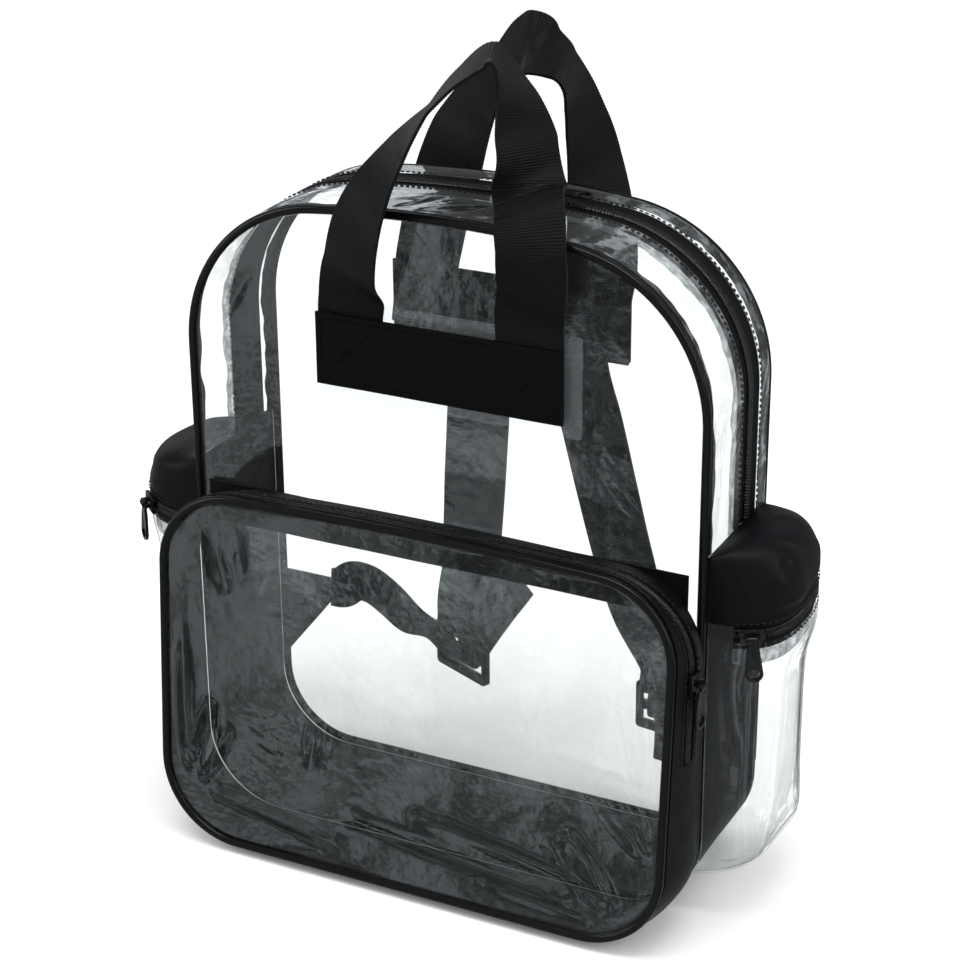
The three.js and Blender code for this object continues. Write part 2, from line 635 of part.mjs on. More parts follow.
function slottedFrame() {
  const shape = new THREE.Shape();
  const w = lockWidth / 2;
  const h = lockHeight / 2;
  const corner = lockBar / 2;
  shape.moveTo(-w + corner, -h);
  shape.lineTo(w - corner, -h);
  shape.absarc(w - corner, -h + corner, corner, -Math.PI / 2, 0);
  shape.lineTo(w, h - corner);
  shape.absarc(w - corner, h - corner, corner, 0, Math.PI / 2);
  shape.lineTo(-w + corner, h);
  shape.absarc(-w + corner, h - corner, corner, Math.PI / 2, Math.PI);
  shape.lineTo(-w, -h + corner);
  shape.absarc(-w + corner, -h + corner, corner, Math.PI, 1.5 * Math.PI);
  const slotHalf = (lockWidth - 2 * lockSide) / 2;
  for (const middle of [-1, 1]) {
    const z = (middle * (slotHeight + lockBar)) / 2;
    const hole = new THREE.Path();
    hole.moveTo(-slotHalf, z - slotHeight / 2);
    hole.lineTo(-slotHalf, z + slotHeight / 2);
    hole.lineTo(slotHalf, z + slotHeight / 2);
    hole.lineTo(slotHalf, z - slotHeight / 2);
    shape.holes.push(hole);
  }
  const geometry = new THREE.ExtrudeGeometry(shape, { depth: lockThickness, bevelEnabled: false, curveSegments: 3 });
  geometry.translate(0, 0, -lockThickness / 2);
  geometry.rotateX(Math.PI / 2);
  return geometry;
}

const tabRoot = { x: halfWidth - clearSheet, low: tabRootLow, high: tabRootHigh };
const tabTip = { x: halfWidth - tabInset, y: halfDepth + tabStandOff, z: tabTipHeight, half: tabTipHalf };

// The narrow webbing runs from its tab to the lock, goes through the lower slot and ends
// in a free tail. ahead and behind are its clearances to the strap folded on the lock.
const lowSlot = -(slotHeight + lockBar) / 2;
const ahead = -foldOut - webbingThickness - webbingSlack;
const behind = -ahead;
// A place on the way from the tab's tip to the left lock, with its bow out and up
function bowed(toward, out, up, more) {
  return {
    x: -mix(tabTip.x, -leftLock.x, toward),
    y: tabTip.y + out * tabStandOff,
    z: tabTip.z + up * lowerStrapBow,
    ...more,
  };
}

// A place beside a lock, across and above it as shares of its own width and height
const nearLock = (lock, across, behind, above, more) => atLock(lock, across * lockWidth, behind, above * lockHeight, more);

const leftLowerRows = [
  { x: -(tabTip.x - 2 * seamGap), y: tabTip.y, z: tabTip.z + 2 * clearSheet, tip: -90 },
  bowed(0.0854, 0.125, 0.2, { tip: -88 }),
  bowed(0.1829, 0.25, 0.8, { tip: -84 }),
  bowed(0.3171, 0.25, 0.8, { tip: -76 }),
  bowed(0.4756, 0.125, 0.2, { turn: 4, tip: -66 }),
  bowed(0.6585, 0.125, -0.9, { turn: 14, tip: -48 }),
  nearLock(leftLock, -0.2444, ahead - 3 * webbingThickness, 0.4, { tip: -28 }),
  nearLock(leftLock, -0.0667, ahead, 0.0667, { tip: -8 }),
  atLock(leftLock, 0, ahead + slotTurn, lowSlot + slotTurn),
  atLock(leftLock, 0, 0, lowSlot),
  atLock(leftLock, 0, behind - slotTurn, lowSlot + slotTurn),
  nearLock(leftLock, 0.0889, behind, 0.2, { tip: 10 }),
  nearLock(leftLock, 0.3556, behind + 3 * webbingThickness, 0.9333, { tip: 28 }),
  nearLock(leftLock, 0.7111, behind + 7 * webbingThickness, 1.8, { tip: 32 }),
];
const rightTurn = { turn: rightLock.turn + 180 };
const rightLowerRows = [
  { x: tabTip.x - 2 * seamGap, y: tabTip.y, z: tabTip.z + 2 * clearSheet, ...rightTurn, tip: -90 },
  { x: tabTip.x - 7 * clearSheet, y: tabTip.y + clearSheet, z: tabTip.z + 2 * clearSheet, ...rightTurn, tip: -84 },
  nearLock(rightLock, 0.2889, ahead - 3 * clearSheet, 0.9333, { ...rightTurn, tip: -56 }),
  nearLock(rightLock, 0.0667, ahead - 2 * clearSheet, 0.4, { ...rightTurn, tip: -22 }),
  atLock(rightLock, 0, ahead + slotTurn, lowSlot + slotTurn, rightTurn),
  atLock(rightLock, 0, 0, lowSlot, rightTurn),
  atLock(rightLock, 0, foldOut, lowSlot - lockHeight / 10, rightTurn),
  atLock(rightLock, 0, foldOut + clearSheet, lowSlot - 16 * lockHeight / 30, rightTurn),
  atLock(rightLock, 0, foldOut, lowSlot - lockHeight, rightTurn),
];

function buildStraps() {
  addMesh('front_patch_backing', new THREE.BoxGeometry(backingWidth, backingThickness, backingHeight), 'clear')
    .position.set(backingShift, frontBackingY, patchMiddleHeight);
  addMesh('front_handle', webbing(frontHandleRows, webbingWidth, 50), 'webbing');
  addMesh('front_handle_patch', new THREE.BoxGeometry(patchWidth, webbingThickness, patchHeight), 'webbing')
    .position.set(patchShift, frontPatchY, patchMiddleHeight);
  addMesh('rear_handle', webbing(rearHandleRows, webbingWidth, 50), 'webbing');
  addMesh('rear_handle_patch', new THREE.BoxGeometry(patchWidth, webbingThickness, patchHeight), 'webbing')
    .position.set(-patchShift, rearPatchY, patchMiddleHeight);
  for (const [side, rows, lock] of [['left', leftStrapRows, leftLock], ['right', rightStrapRows, rightLock]]) {
    addMesh(`shoulder_strap_${side}`, webbing([...rows, ...strapFold(lock)], webbingWidth, 39), 'webbing');
    const frame = addMesh(`ladder_lock_${side}`, slottedFrame(), 'plastic');
    frame.position.set(lock.x, lock.y, lock.z);
    frame.rotation.z = -radians(lock.turn);
  }
}

// A fabric triangle sewn into the rear seam, with its tip where the narrow webbing starts
function buildTab(side, sign) {
  const corner = (x, z, y) => new THREE.Vector3(sign * x, y, z);
  const near = halfDepth + seamGap + nylonSheet / 2;
  const layer = (shift) => [
    [corner(tabRoot.x, tabRoot.high, near + shift), corner(tabTip.x, tabTip.z + tabTip.half, tabTip.y + shift)],
    [corner(tabRoot.x, tabRoot.low, near + shift), corner(tabTip.x, tabTip.z - tabTip.half, tabTip.y + shift)],
  ];
  addMesh(`strap_tab_${side}`, wall(layer(nylonSheet / 2), layer(-nylonSheet / 2)), 'nylon');
}

function solid(geometry) {
  geometry.deleteAttribute('normal');
  geometry.deleteAttribute('uv');
  const merged = mergeVertices(geometry, 1e-4);
  return new wasm.Manifold(new wasm.Mesh({
    numProp: 3,
    vertProperties: new Float32Array(merged.attributes.position.array),
    triVerts: new Uint32Array(merged.index.array),
  }));
}

function geometryOf(manifold) {
  const mesh = manifold.getMesh();
  const geometry = new THREE.BufferGeometry();
  geometry.setAttribute('position', new THREE.BufferAttribute(Float32Array.from(mesh.vertProperties), 3));
  geometry.setIndex(Array.from(mesh.triVerts));
  return geometry;
}

// In the frame of a slider X is its bar, the pull hangs along -Y and Z faces off the tape;
// Z = 0 is the outer face of the sheet beside the coil
const coilTop = coilHeight - clearSheet;
const plateBottom = coilTop + seamGap;
const barMiddleHeight = plateBottom + sliderPlate + barHeight;

function sliderGeometry(alongBar) {
  const channel = coilWidth + 2 * seamGap;
  const outer = channel + 2 * sliderFlange;
  const top = new THREE.BoxGeometry(alongBar ? sliderLength : outer, alongBar ? outer : sliderLength, sliderPlate);
  top.translate(0, 0, plateBottom + sliderPlate / 2);
  let body = solid(top);
  const ribHeight = plateBottom - seamGap + sliderSink;
  const postHeight = barHeight + barRadius + sliderSink;
  const postX = pullNeckWidth / 2 + postGap + postThickness / 2;
  for (const sign of [-1, 1]) {
    const rib = alongBar
      ? new THREE.BoxGeometry(sliderLength, sliderFlange, ribHeight)
      : new THREE.BoxGeometry(sliderFlange, sliderLength, ribHeight);
    const shift = (sign * (channel + sliderFlange)) / 2;
    rib.translate(alongBar ? 0 : shift, alongBar ? shift : 0, seamGap + ribHeight / 2);
    body = body.add(solid(rib));
    const post = new THREE.BoxGeometry(postThickness, postWidth, postHeight);
    post.translate(sign * postX, 0, plateBottom + sliderPlate - sliderSink + postHeight / 2);
    body = body.add(solid(post));
  }
  const bar = new THREE.CylinderGeometry(barRadius, barRadius, 2 * postX, 10);
  bar.rotateZ(Math.PI / 2);
  bar.translate(0, 0, barMiddleHeight);
  return geometryOf(body.add(solid(bar)));
}

// The pull is a moulded tab with a hole near its round end; its neck curls round the bar
// as an eye
function pullGeometry() {
  const ring = new THREE.Shape();
  ring.absarc(0, 0, pullEyeRadius, 0, 2 * Math.PI);
  const bore = new THREE.Path();
  bore.absarc(0, 0, barRadius + pullEyeClearance, 0, 2 * Math.PI);
  ring.holes.push(bore);
  const eye = new THREE.ExtrudeGeometry(ring, { depth: pullNeckWidth, bevelEnabled: false, curveSegments: 8 });
  eye.translate(0, 0, -pullNeckWidth / 2);
  eye.rotateY(Math.PI / 2);
  const tab = new THREE.Shape();
  const neck = pullNeckWidth / 2;
  const half = pullWidth / 2;
  const foot = -pullLength + half;
  const join = -barRadius - pullEyeClearance - pullJoin;
  tab.moveTo(-neck, join);
  tab.lineTo(-neck, -pullNeckEnd);
  tab.lineTo(-half + pullShoulderCut, -pullShoulder);
  tab.lineTo(-half, foot);
  tab.absarc(0, foot, half, Math.PI, 2 * Math.PI);
  tab.lineTo(half - pullShoulderCut, -pullShoulder);
  tab.lineTo(neck, -pullNeckEnd);
  tab.lineTo(neck, join);
  const hole = new THREE.Path();
  hole.absarc(0, foot, pullHoleRadius, 0, 2 * Math.PI);
  tab.holes.push(hole);
  const plate = new THREE.ExtrudeGeometry(tab, { depth: pullThickness, bevelEnabled: false, curveSegments: 6 });
  plate.translate(0, 0, -pullThickness / 2);
  return geometryOf(solid(eye).add(solid(plate)));
}

// A slider with its pull at a place on a zip: normal faces off the bag and hang is the
// way in which the pull hangs; alongBar is true where the zip runs across the pull
function addSlider(name, place, normal, hang, alongBar) {
  const z = normal.clone().normalize();
  const y = hang.clone().negate().addScaledVector(z, hang.dot(z)).normalize();
  const x = new THREE.Vector3().crossVectors(y, z);
  const mount = new THREE.Group();
  mount.applyMatrix4(new THREE.Matrix4().makeBasis(x, y, z).setPosition(place));
  bag.add(mount);
  addMesh(`${name}_slider`, sliderGeometry(alongBar), 'slider', mount);
  addMesh(`${name}_pull`, pullGeometry(), 'slider', mount).position.z = barMiddleHeight;
}

function buildSliders() {
  const crownAngle = Math.asin(mainSliderX / crownRadius);
  const crownSpot = new THREE.Vector3(mainSliderX, mainZipOffset, bodyHeight - crownRadius + crownRadius * Math.cos(crownAngle));
  const crownNormal = new THREE.Vector3(Math.sin(crownAngle), 0, Math.cos(crownAngle));
  const along = new THREE.Vector3(Math.cos(crownAngle), 0, -Math.sin(crownAngle));
  addSlider('main_zip', crownSpot, crownNormal, along, false);

  const zipHeight = mix(pocketZipEnd, pocketFrontHeight, pocketSliderPlace);
  const onZip = (share) => {
    const spot = pocketRow('upper', 0, share)[1];
    spot.z = zipHeight;
    return spot;
  };
  const towardFront = onZip(pocketZipPlace + 0.06).sub(onZip(pocketZipPlace - 0.06));
  const outward = new THREE.Vector3().crossVectors(towardFront, new THREE.Vector3(0, 0, 1)).negate();
  addSlider('pocket_zip', onZip(pocketZipPlace), outward, new THREE.Vector3(0, 0, -1), false);

  const sides = [
    ['left', -1, sidePocketBulgeLeft, sideSliderAngleLeft],
    ['right', 1, sidePocketBulgeRight, sideSliderAngleRight],
  ];
  for (const [side, sign, bulge, degrees] of sides) {
    const angle = radians(degrees);
    const row = clearRows.at(-1);
    const spot = (shift) => sidePocketPoint(sign, bulge, angle + shift, sideZipHeight(angle + shift), row, 0);
    const run = spot(0.05).sub(spot(-0.05)).normalize();
    const normal = new THREE.Vector3().crossVectors(run, new THREE.Vector3(0, 0, 1)).multiplyScalar(sign);
    const down = new THREE.Vector3(0, 0, -1).addScaledVector(run, run.z);
    addSlider(`side_zip_${side}`, spot(0), normal, down, true);
  }
}

function buildLowerWebbing() {
  for (const [side, sign, rows] of [['left', -1, leftLowerRows], ['right', 1, rightLowerRows]]) {
    buildTab(side, sign);
    addMesh(`lower_strap_${side}`, webbing(rows, narrowWebbingWidth, 3 * (rows.length - 1)), 'webbing');
  }
}

buildBody();
buildFrontPocket();
buildSidePocket('left', -1, sidePocketBulgeLeft, hoodRowsLeft);
buildSidePocket('right', 1, sidePocketBulgeRight, hoodRowsRight);
buildStraps();
buildLowerWebbing();
buildSliders();

export default bag;
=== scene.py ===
import json
import math

import bpy
import numpy as np
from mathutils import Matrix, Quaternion, Vector


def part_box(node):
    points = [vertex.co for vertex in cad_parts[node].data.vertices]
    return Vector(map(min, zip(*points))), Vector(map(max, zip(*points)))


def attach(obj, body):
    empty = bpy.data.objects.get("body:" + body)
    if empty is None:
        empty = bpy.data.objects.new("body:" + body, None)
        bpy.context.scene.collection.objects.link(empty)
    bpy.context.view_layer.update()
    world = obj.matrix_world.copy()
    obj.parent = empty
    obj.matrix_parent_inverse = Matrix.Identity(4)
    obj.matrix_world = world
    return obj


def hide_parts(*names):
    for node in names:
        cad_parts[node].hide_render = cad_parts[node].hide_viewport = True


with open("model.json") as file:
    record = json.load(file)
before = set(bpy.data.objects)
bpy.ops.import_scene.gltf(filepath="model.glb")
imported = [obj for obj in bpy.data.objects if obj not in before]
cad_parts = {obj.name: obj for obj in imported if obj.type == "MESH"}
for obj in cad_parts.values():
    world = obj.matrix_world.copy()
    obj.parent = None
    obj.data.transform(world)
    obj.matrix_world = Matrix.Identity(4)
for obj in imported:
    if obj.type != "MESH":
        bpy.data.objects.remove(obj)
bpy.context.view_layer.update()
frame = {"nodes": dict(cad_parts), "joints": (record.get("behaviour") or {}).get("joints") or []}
mm = 0.001

# The room. A white floor in a white surround, with a broad soft light overhead. In mirrors
# the surround has dark and light patches, for the clear sheet to show in its creases.
target = Vector((2.97 * mm, 0, 212.57 * mm))
azimuth, elevation, roll = math.radians(26.73), math.radians(23.75), math.radians(-0.46)
flat_away = math.cos(elevation)
away = Vector((math.sin(azimuth) * flat_away, -math.cos(azimuth) * flat_away, math.sin(elevation)))
camera_data = bpy.data.cameras.new("camera")
camera_data.lens = 2490.7 / 960 * camera_data.sensor_width
camera = bpy.data.objects.new("camera", camera_data)
camera.location = target + away * 1354.1 * mm
camera.rotation_mode = "QUATERNION"
camera.rotation_quaternion = away.to_track_quat("Z", "Y") @ Quaternion((0, 0, 1), roll)
scene = bpy.context.scene
scene.collection.objects.link(camera)
scene.camera = camera
scene.view_settings.view_transform = "Standard"
scene.cycles.transparent_max_bounces = 32
scene.cycles.max_bounces = 6
scene.cycles.diffuse_bounces = 2
scene.cycles.glossy_bounces = 3


class Wire:
    """A socket that adds its Math node when it is used in a sum."""

    def __init__(self, finish, socket):
        self.finish = finish
        self.socket = socket

    def math(self, operation, *values):
        return self.finish.node("Math", {"operation": operation}, dict(enumerate(values)))

    def sine(self):
        return self.math("SINE", self)

    def __add__(self, other):
        return self.math("ADD", self, other)

    def __radd__(self, other):
        return self.math("ADD", other, self)

    def __sub__(self, other):
        return self.math("SUBTRACT", self, other)

    def __rsub__(self, other):
        return self.math("SUBTRACT", other, self)

    def __mul__(self, other):
        return self.math("MULTIPLY", self, other)

    def __rmul__(self, other):
        return self.math("MULTIPLY", other, self)


class Finish:
    """A material that is built up node by node."""

    def __init__(self, name, slot, holder=None):
        self.slot = slot
        self.made = holder or bpy.data.materials.new(name)
        self.made.use_nodes = True
        self.tree = self.made.node_tree
        self.tree.nodes.clear()

    def node(self, kind, settings=None, values=None, out=0):
        node = self.tree.nodes.new("ShaderNode" + kind)
        for key, value in (settings or {}).items():
            if key == "stops":
                ramp = node.color_ramp
                for place, shade in value[2:]:
                    ramp.elements.new(place).color = shade
                for element, (place, shade) in zip(ramp.elements, sorted(value)):
                    element.position = place
                    element.color = shade
            else:
                setattr(node, key, value)
        for key, value in (values or {}).items():
            if isinstance(value, Wire):
                self.tree.links.new(value.socket, node.inputs[key])
            else:
                node.inputs[key].default_value = value
        return Wire(self, node.outputs[out])

    def place(self, kind="Object"):
        spot = self.node("TexCoord", out=kind)
        split = self.node("SeparateXYZ", values={0: spot})
        return spot, [Wire(self, output) for output in split.socket.node.outputs]

    def noise(self, spot, size, detail=2.0):
        return self.node("TexNoise", values={"Vector": spot, "Scale": 1 / size, "Detail": detail})

    def bump(self, height, strength, depth):
        return self.node("Bump", values={"Height": height, "Strength": strength, "Distance": depth})

    def end(self, shader, kind="Material"):
        node = self.tree.nodes.new("ShaderNodeOutput" + kind)
        self.tree.links.new(shader.socket, node.inputs["Surface"])


floor_finish = Finish("floor_white", None)
floor_finish.end(floor_finish.node("BsdfDiffuse", values={"Color": (0.93, 0.93, 0.93, 1)}))
bpy.ops.mesh.primitive_plane_add(size=40, location=(0, 0, -0.4 * mm))
floor = bpy.context.object
floor.name = "floor"
floor.data.materials.append(floor_finish.made)
floor.visible_glossy = False

surround = bpy.data.worlds.new("surround")
scene.world = surround
sky = Finish("surround", None, surround)
direction = sky.node("TexCoord", out="Generated")
patches = sky.node("TexNoise", values={
    "Vector": direction, "Scale": 5.5, "Detail": 2.0, "Distortion": 1.2,
})
tones = sky.node("ValToRGB", {"stops": [
    (0.42, (0.02, 0.02, 0.03, 1)), (0.64, (1.3, 1.35, 1.4, 1)), (0.50, (0.22, 0.23, 0.24, 1)),
    (0.57, (0.6, 0.62, 0.64, 1)),
]}, {0: patches})
mirrored = sky.node("LightPath", out="Is Glossy Ray")
shade = sky.node("Mix", {"data_type": "RGBA"}, {0: mirrored, 6: (1, 1, 1, 1), 7: tones}, out=2)
sky.end(sky.node("Background", values={"Color": shade, "Strength": 1.0}), "World")

# Lights: place, aim, width, height, power
for name, place, aim, width, depth, power in [
    ("overhead", (0.2, -0.5, 1.9), (0, 0, 0.2), 1.6, 0.5, 18),
    ("left_box", (-1.5, -0.9, 0.9), (0, 0, 0.25), 0.14, 1.6, 9),
    ("right_box", (1.5, -0.2, 1.0), (0, 0, 0.25), 0.14, 1.4, 8),
]:
    lamp = bpy.data.lights.new(name, "AREA")
    lamp.shape = "RECTANGLE"
    lamp.size, lamp.size_y, lamp.energy = width, depth, power
    light = bpy.data.objects.new(name, lamp)
    light.location = place
    light.rotation_euler = (Vector(place) - Vector(aim)).to_track_quat("Z", "Y").to_euler()
    scene.collection.objects.link(light)

# The clear body panels, front and rear: PVC sheet cut to the bag's outline and sewn into
# the piping. The sheet lies nearly flat, with slow waves and a few creases from packing.
body_half, body_top, body_half_depth = 152.5 * mm, 374 * mm, 44 * mm
clear_sheet, nylon_sheet, seam_gap, piping_radius = 1.0 * mm, 1.2 * mm, 0.3 * mm, 2.4 * mm
panel_inset = 2 * piping_radius + seam_gap
piping_middle = body_half_depth - piping_radius
body_shape = {
    "half": body_half, "bottom": 0, "top": body_top, "crown": 700 * mm,
    "top_radius": 88 * mm, "bottom_radius": 46 * mm, "split": 213 * mm,
}

clear = Finish("clear_pvc", "clear_pvc")
spot, _ = clear.place()
crinkle = clear.noise(spot, 34 * mm, 3.0) + 0.35 * clear.noise(spot, 9 * mm, 2.0)
tilt = clear.bump(crinkle, 0.35, 1.6 * mm)
mirror = clear.node("BsdfPrincipled", values={
    "Base Color": (0.93, 0.97, 0.97, 1), "Metallic": 0.9, "Roughness": 0.07, "Normal": tilt,
})
through = clear.node("BsdfTransparent", values={0: (0.985, 0.992, 0.99, 1)})
outside = 1 - clear.node("NewGeometry", out="Backfacing")
glint = clear.node("Fresnel", values={"IOR": 1.45, "Normal": tilt}) * 1.7 * outside
clear.end(clear.node("MixShader", values={0: glint, 1: through, 2: mirror}))


def arc(centre_x, centre_z, radius, start, end, count):
    angle = np.radians(np.linspace(start, end, count))
    c, s = np.cos(angle), np.sin(angle)
    return np.stack([centre_x + radius * c, centre_z + radius * s, c, s], 1)


def straight(x0, z0, x1, z1, normal_x, normal_z, count):
    share = np.linspace(0, 1, count)
    ones = np.ones(count)
    x, z = x0 + (x1 - x0) * share, z0 + (z1 - z0) * share
    return np.stack([x, z, normal_x * ones, normal_z * ones], 1)


def outline(shape, inset, run):
    """Points x, z with their outward normals along the upper or lower run of an outline."""
    half, split = shape["half"], shape["split"]
    top_r, low_r = shape["top_radius"], shape["bottom_radius"]
    corner_x, crown_z = half - top_r, shape["top"] - shape["crown"]
    corner_z = crown_z + math.sqrt((shape["crown"] - top_r) ** 2 - corner_x ** 2)
    meet = math.degrees(math.atan2(corner_z - crown_z, corner_x))
    low_x, low_z = half - low_r, shape["bottom"] + low_r
    edge = half - inset
    if run == "upper":
        parts = [
            straight(edge, split, edge, corner_z, 1, 0, 26),
            arc(corner_x, corner_z, top_r - inset, 0, meet, 36),
            arc(0, crown_z, shape["crown"] - inset, meet, 180 - meet, 40),
            arc(-corner_x, corner_z, top_r - inset, 180 - meet, 180, 36),
            straight(-edge, corner_z, -edge, split, -1, 0, 26),
        ]
    else:
        floor_z = shape["bottom"] + inset
        parts = [
            straight(-edge, split, -edge, low_z, -1, 0, 40),
            arc(-low_x, low_z, low_r - inset, 180, 270, 24),
            straight(-low_x, floor_z, low_x, floor_z, 0, -1, 60),
            arc(low_x, low_z, low_r - inset, 270, 360, 24),
            straight(edge, low_z, edge, split, 1, 0, 40),
        ]
    return np.concatenate([parts[0]] + [part[1:] for part in parts[1:]])


def whole_outline(shape, inset):
    return np.concatenate([outline(shape, inset, "upper")[:-1], outline(shape, inset, "lower")[:-1]])


def normals_of(points):
    along = np.gradient(points, axis=0)
    across = np.gradient(points, axis=1)
    normal = np.cross(along, across)
    return normal / np.maximum(np.linalg.norm(normal, axis=2, keepdims=True), 1e-12)


def waves(points, size, length, seed):
    """Slow waves of a sheet, as a height at each point, from a few sines."""
    draw = np.random.default_rng(seed)
    total = np.zeros(points.shape[:-1])
    for _ in range(7):
        heading = draw.normal(size=3)
        heading /= np.linalg.norm(heading)
        stretch = draw.uniform(0.7, 1.6)
        total += np.sin(points @ heading * 2 * math.pi * stretch / length + draw.uniform(0, 6.28))
    return total * size / 3


def creases(points, table):
    """Heights of creases, each a row x, y, z to x, y, z, width and height in millimetres."""
    total = np.zeros(points.shape[:-1])
    for x0, y0, z0, x1, y1, z1, width, rise in table:
        start, end = np.array([x0, y0, z0]) * mm, np.array([x1, y1, z1]) * mm
        run = end - start
        share = np.clip((points - start) @ run / (run @ run), 0, 1)
        gap = np.linalg.norm(points - start - share[..., None] * run, axis=-1) / (width * mm)
        swell = 0.35 + 0.65 * np.sin(math.pi * np.clip(share, 0.05, 0.95))
        total += rise * mm * np.exp(-gap ** 2) * swell
    return total


def add_piece(name, verts, faces, finish, nodes, body="bag", uvs=None):
    """A mesh piece that rides on a body and stands for its CAD nodes."""
    mesh = bpy.data.meshes.new(name)
    mesh.from_pydata(np.asarray(verts).tolist(), [], np.asarray(faces).tolist())
    if uvs is not None:
        layer = mesh.uv_layers.new(name="cloth")
        corner = np.empty(len(mesh.loops), dtype=np.int32)
        mesh.loops.foreach_get("vertex_index", corner)
        layer.uv.foreach_set("vector", np.asarray(uvs)[corner].ravel())
    mesh.shade_smooth()
    mesh.set_sharp_from_angle(angle=math.radians(50))
    mesh.materials.append(finish.made)
    piece = bpy.data.objects.new(name, mesh)
    scene.collection.objects.link(piece)
    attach(piece, body)
    if nodes:
        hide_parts(*nodes)
    return piece


def closed_sheet(middle, normal, thickness):
    """Corners and outward faces of a closed sheet about a grid of points."""
    rows, columns = middle.shape[:2]
    verts = np.concatenate([
        (middle + normal * thickness / 2).reshape(-1, 3),
        (middle - normal * thickness / 2).reshape(-1, 3),
    ])
    index = np.arange(rows * columns).reshape(rows, columns)
    a, b, c, d = index[:-1, :-1], index[:-1, 1:], index[1:, 1:], index[1:, :-1]
    back = rows * columns
    faces = [np.stack([a, b, c, d], -1).reshape(-1, 4)]
    faces.append(np.stack([d, c, b, a], -1).reshape(-1, 4) + back)
    for edge in (index[0, ::-1], index[-1], index[:, 0], index[::-1, -1]):
        faces.append(np.stack([edge[1:], edge[:-1], edge[:-1] + back, edge[1:] + back], -1))
    faces = np.concatenate(faces)
    p, q, r, s = (verts[faces[:, k]] for k in range(4))
    if ((p * np.cross(q, r)).sum() + (p * np.cross(r, s)).sum()) < 0:
        faces = faces[:, ::-1]
    return verts, faces


def sheet_piece(name, middle, thickness, finish, nodes, flat=None):
    """A closed sheet of an even thickness about a grid of points."""
    verts, faces = closed_sheet(middle, normals_of(middle), thickness)
    step_u = np.linalg.norm(np.diff(middle, axis=1), axis=2).mean(0)
    step_v = np.linalg.norm(np.diff(middle, axis=0), axis=2).mean(1)
    u, v = np.append(0, np.cumsum(step_u)), np.append(0, np.cumsum(step_v))
    uvs = np.stack(np.meshgrid(u, v), -1).reshape(-1, 2)
    piece = add_piece(name, verts, faces, finish, nodes, uvs=np.concatenate([uvs, uvs]))
    edge_v, edge_u = middle[1:, :-1] - middle[:-1, :-1], middle[:-1, 1:] - middle[:-1, :-1]
    area = np.linalg.norm(np.cross(edge_v, edge_u), axis=2).sum()
    wide = np.linalg.norm(np.diff(middle, axis=1), axis=2).sum(1).max()
    long = np.linalg.norm(np.diff(middle, axis=0), axis=2).sum(0).max()
    wide, long = flat or (max(float(size), 10.1 * mm) for size in (wide, long))
    min(float(area), wide * long)
    return piece


def panel_grid(shape, inset, rows, columns):
    """A grid of x, z over an outline: upright columns between its lower and upper runs."""
    upper, lower = outline(shape, inset, "upper")[::-1], outline(shape, inset, "lower")
    edge = shape["half"] - inset
    x = -edge * np.cos(np.linspace(0, math.pi, columns))
    high = np.interp(x, upper[25:-25, 0], upper[25:-25, 1])
    low = np.interp(x, lower[39:-39, 0], lower[39:-39, 1])
    share = (1 - np.cos(np.linspace(0, math.pi, rows))) / 4 + np.linspace(0, 1, rows) / 2
    return np.broadcast_to(x, (rows, columns)), low + (high - low) * share[:, None]


front_creases = [
    # x0, y0, z0, x1, y1, z1, width, height
    (-92, -42, 262, -60, -42, 205, 3.9, -1.0),
    (92, -42, 255, 132, -42, 215, 4.2, 1.0),
    (96, -42, 330, 128, -42, 290, 3.9, -0.9),
    (-130, -42, 300, -108, -42, 335, 3.9, 0.9),
    (-10, -42, 262, -20, -42, 222, 3.2, 0.7),
]
rear_creases = [
    (-120, 42, 320, -90, 42, 250, 5.2, 1.0),
    (60, 42, 120, 110, 42, 60, 5.2, -1.1),
    (-40, 42, 180, -10, 42, 120, 5.2, 0.9),
    (100, 42, 300, 130, 42, 240, 4.5, 0.9),
]
# The webbing lies just outside the panels, so they sag inwards.
panel_rise, panel_give, panel_rows, panel_columns = 0.2 * mm, 0.4 * mm, 130, 120
for side, sign, table in [("front", -1, front_creases), ("rear", 1, rear_creases)]:
    x, z = panel_grid(body_shape, panel_inset, panel_rows, panel_columns)
    flat = np.stack([x, np.full(x.shape, sign * piping_middle), z], -1)
    rim = np.clip((body_half - panel_inset - np.abs(x)) / (14 * mm), 0, 1)
    ends = np.sin(math.pi * np.linspace(0, 1, panel_rows))[:, None] ** 0.6
    lift = sign * (waves(flat, 0.55 * mm, 120 * mm, 11 + sign) + creases(flat, table))
    lift = (lift + panel_rise - np.sqrt((lift - panel_rise) ** 2 + panel_give ** 2)) / 2
    flat[..., 1] += sign * lift * rim * ends
    cut = (2 * (body_half - panel_inset), body_top - 2 * panel_inset)
    sheet_piece(f"{side}_panel_sheet", flat, clear_sheet, clear, [f"{side}_panel"],
                flat=cut)

# Piping: a glossy black PVC cord round both panels and round the front pocket, with the
# folded seam binding behind it on the inside of the bag.
piping = Finish("black_piping", "black_piping")
spot, _ = piping.place()
piping.end(piping.node("BsdfPrincipled", values={
    "Base Color": (0.003, 0.003, 0.0036, 1), "Roughness": 0.2, "Specular IOR Level": 0.18,
    "Normal": piping.bump(piping.noise(spot, 5 * mm), 0.2, 0.5 * mm),
}))


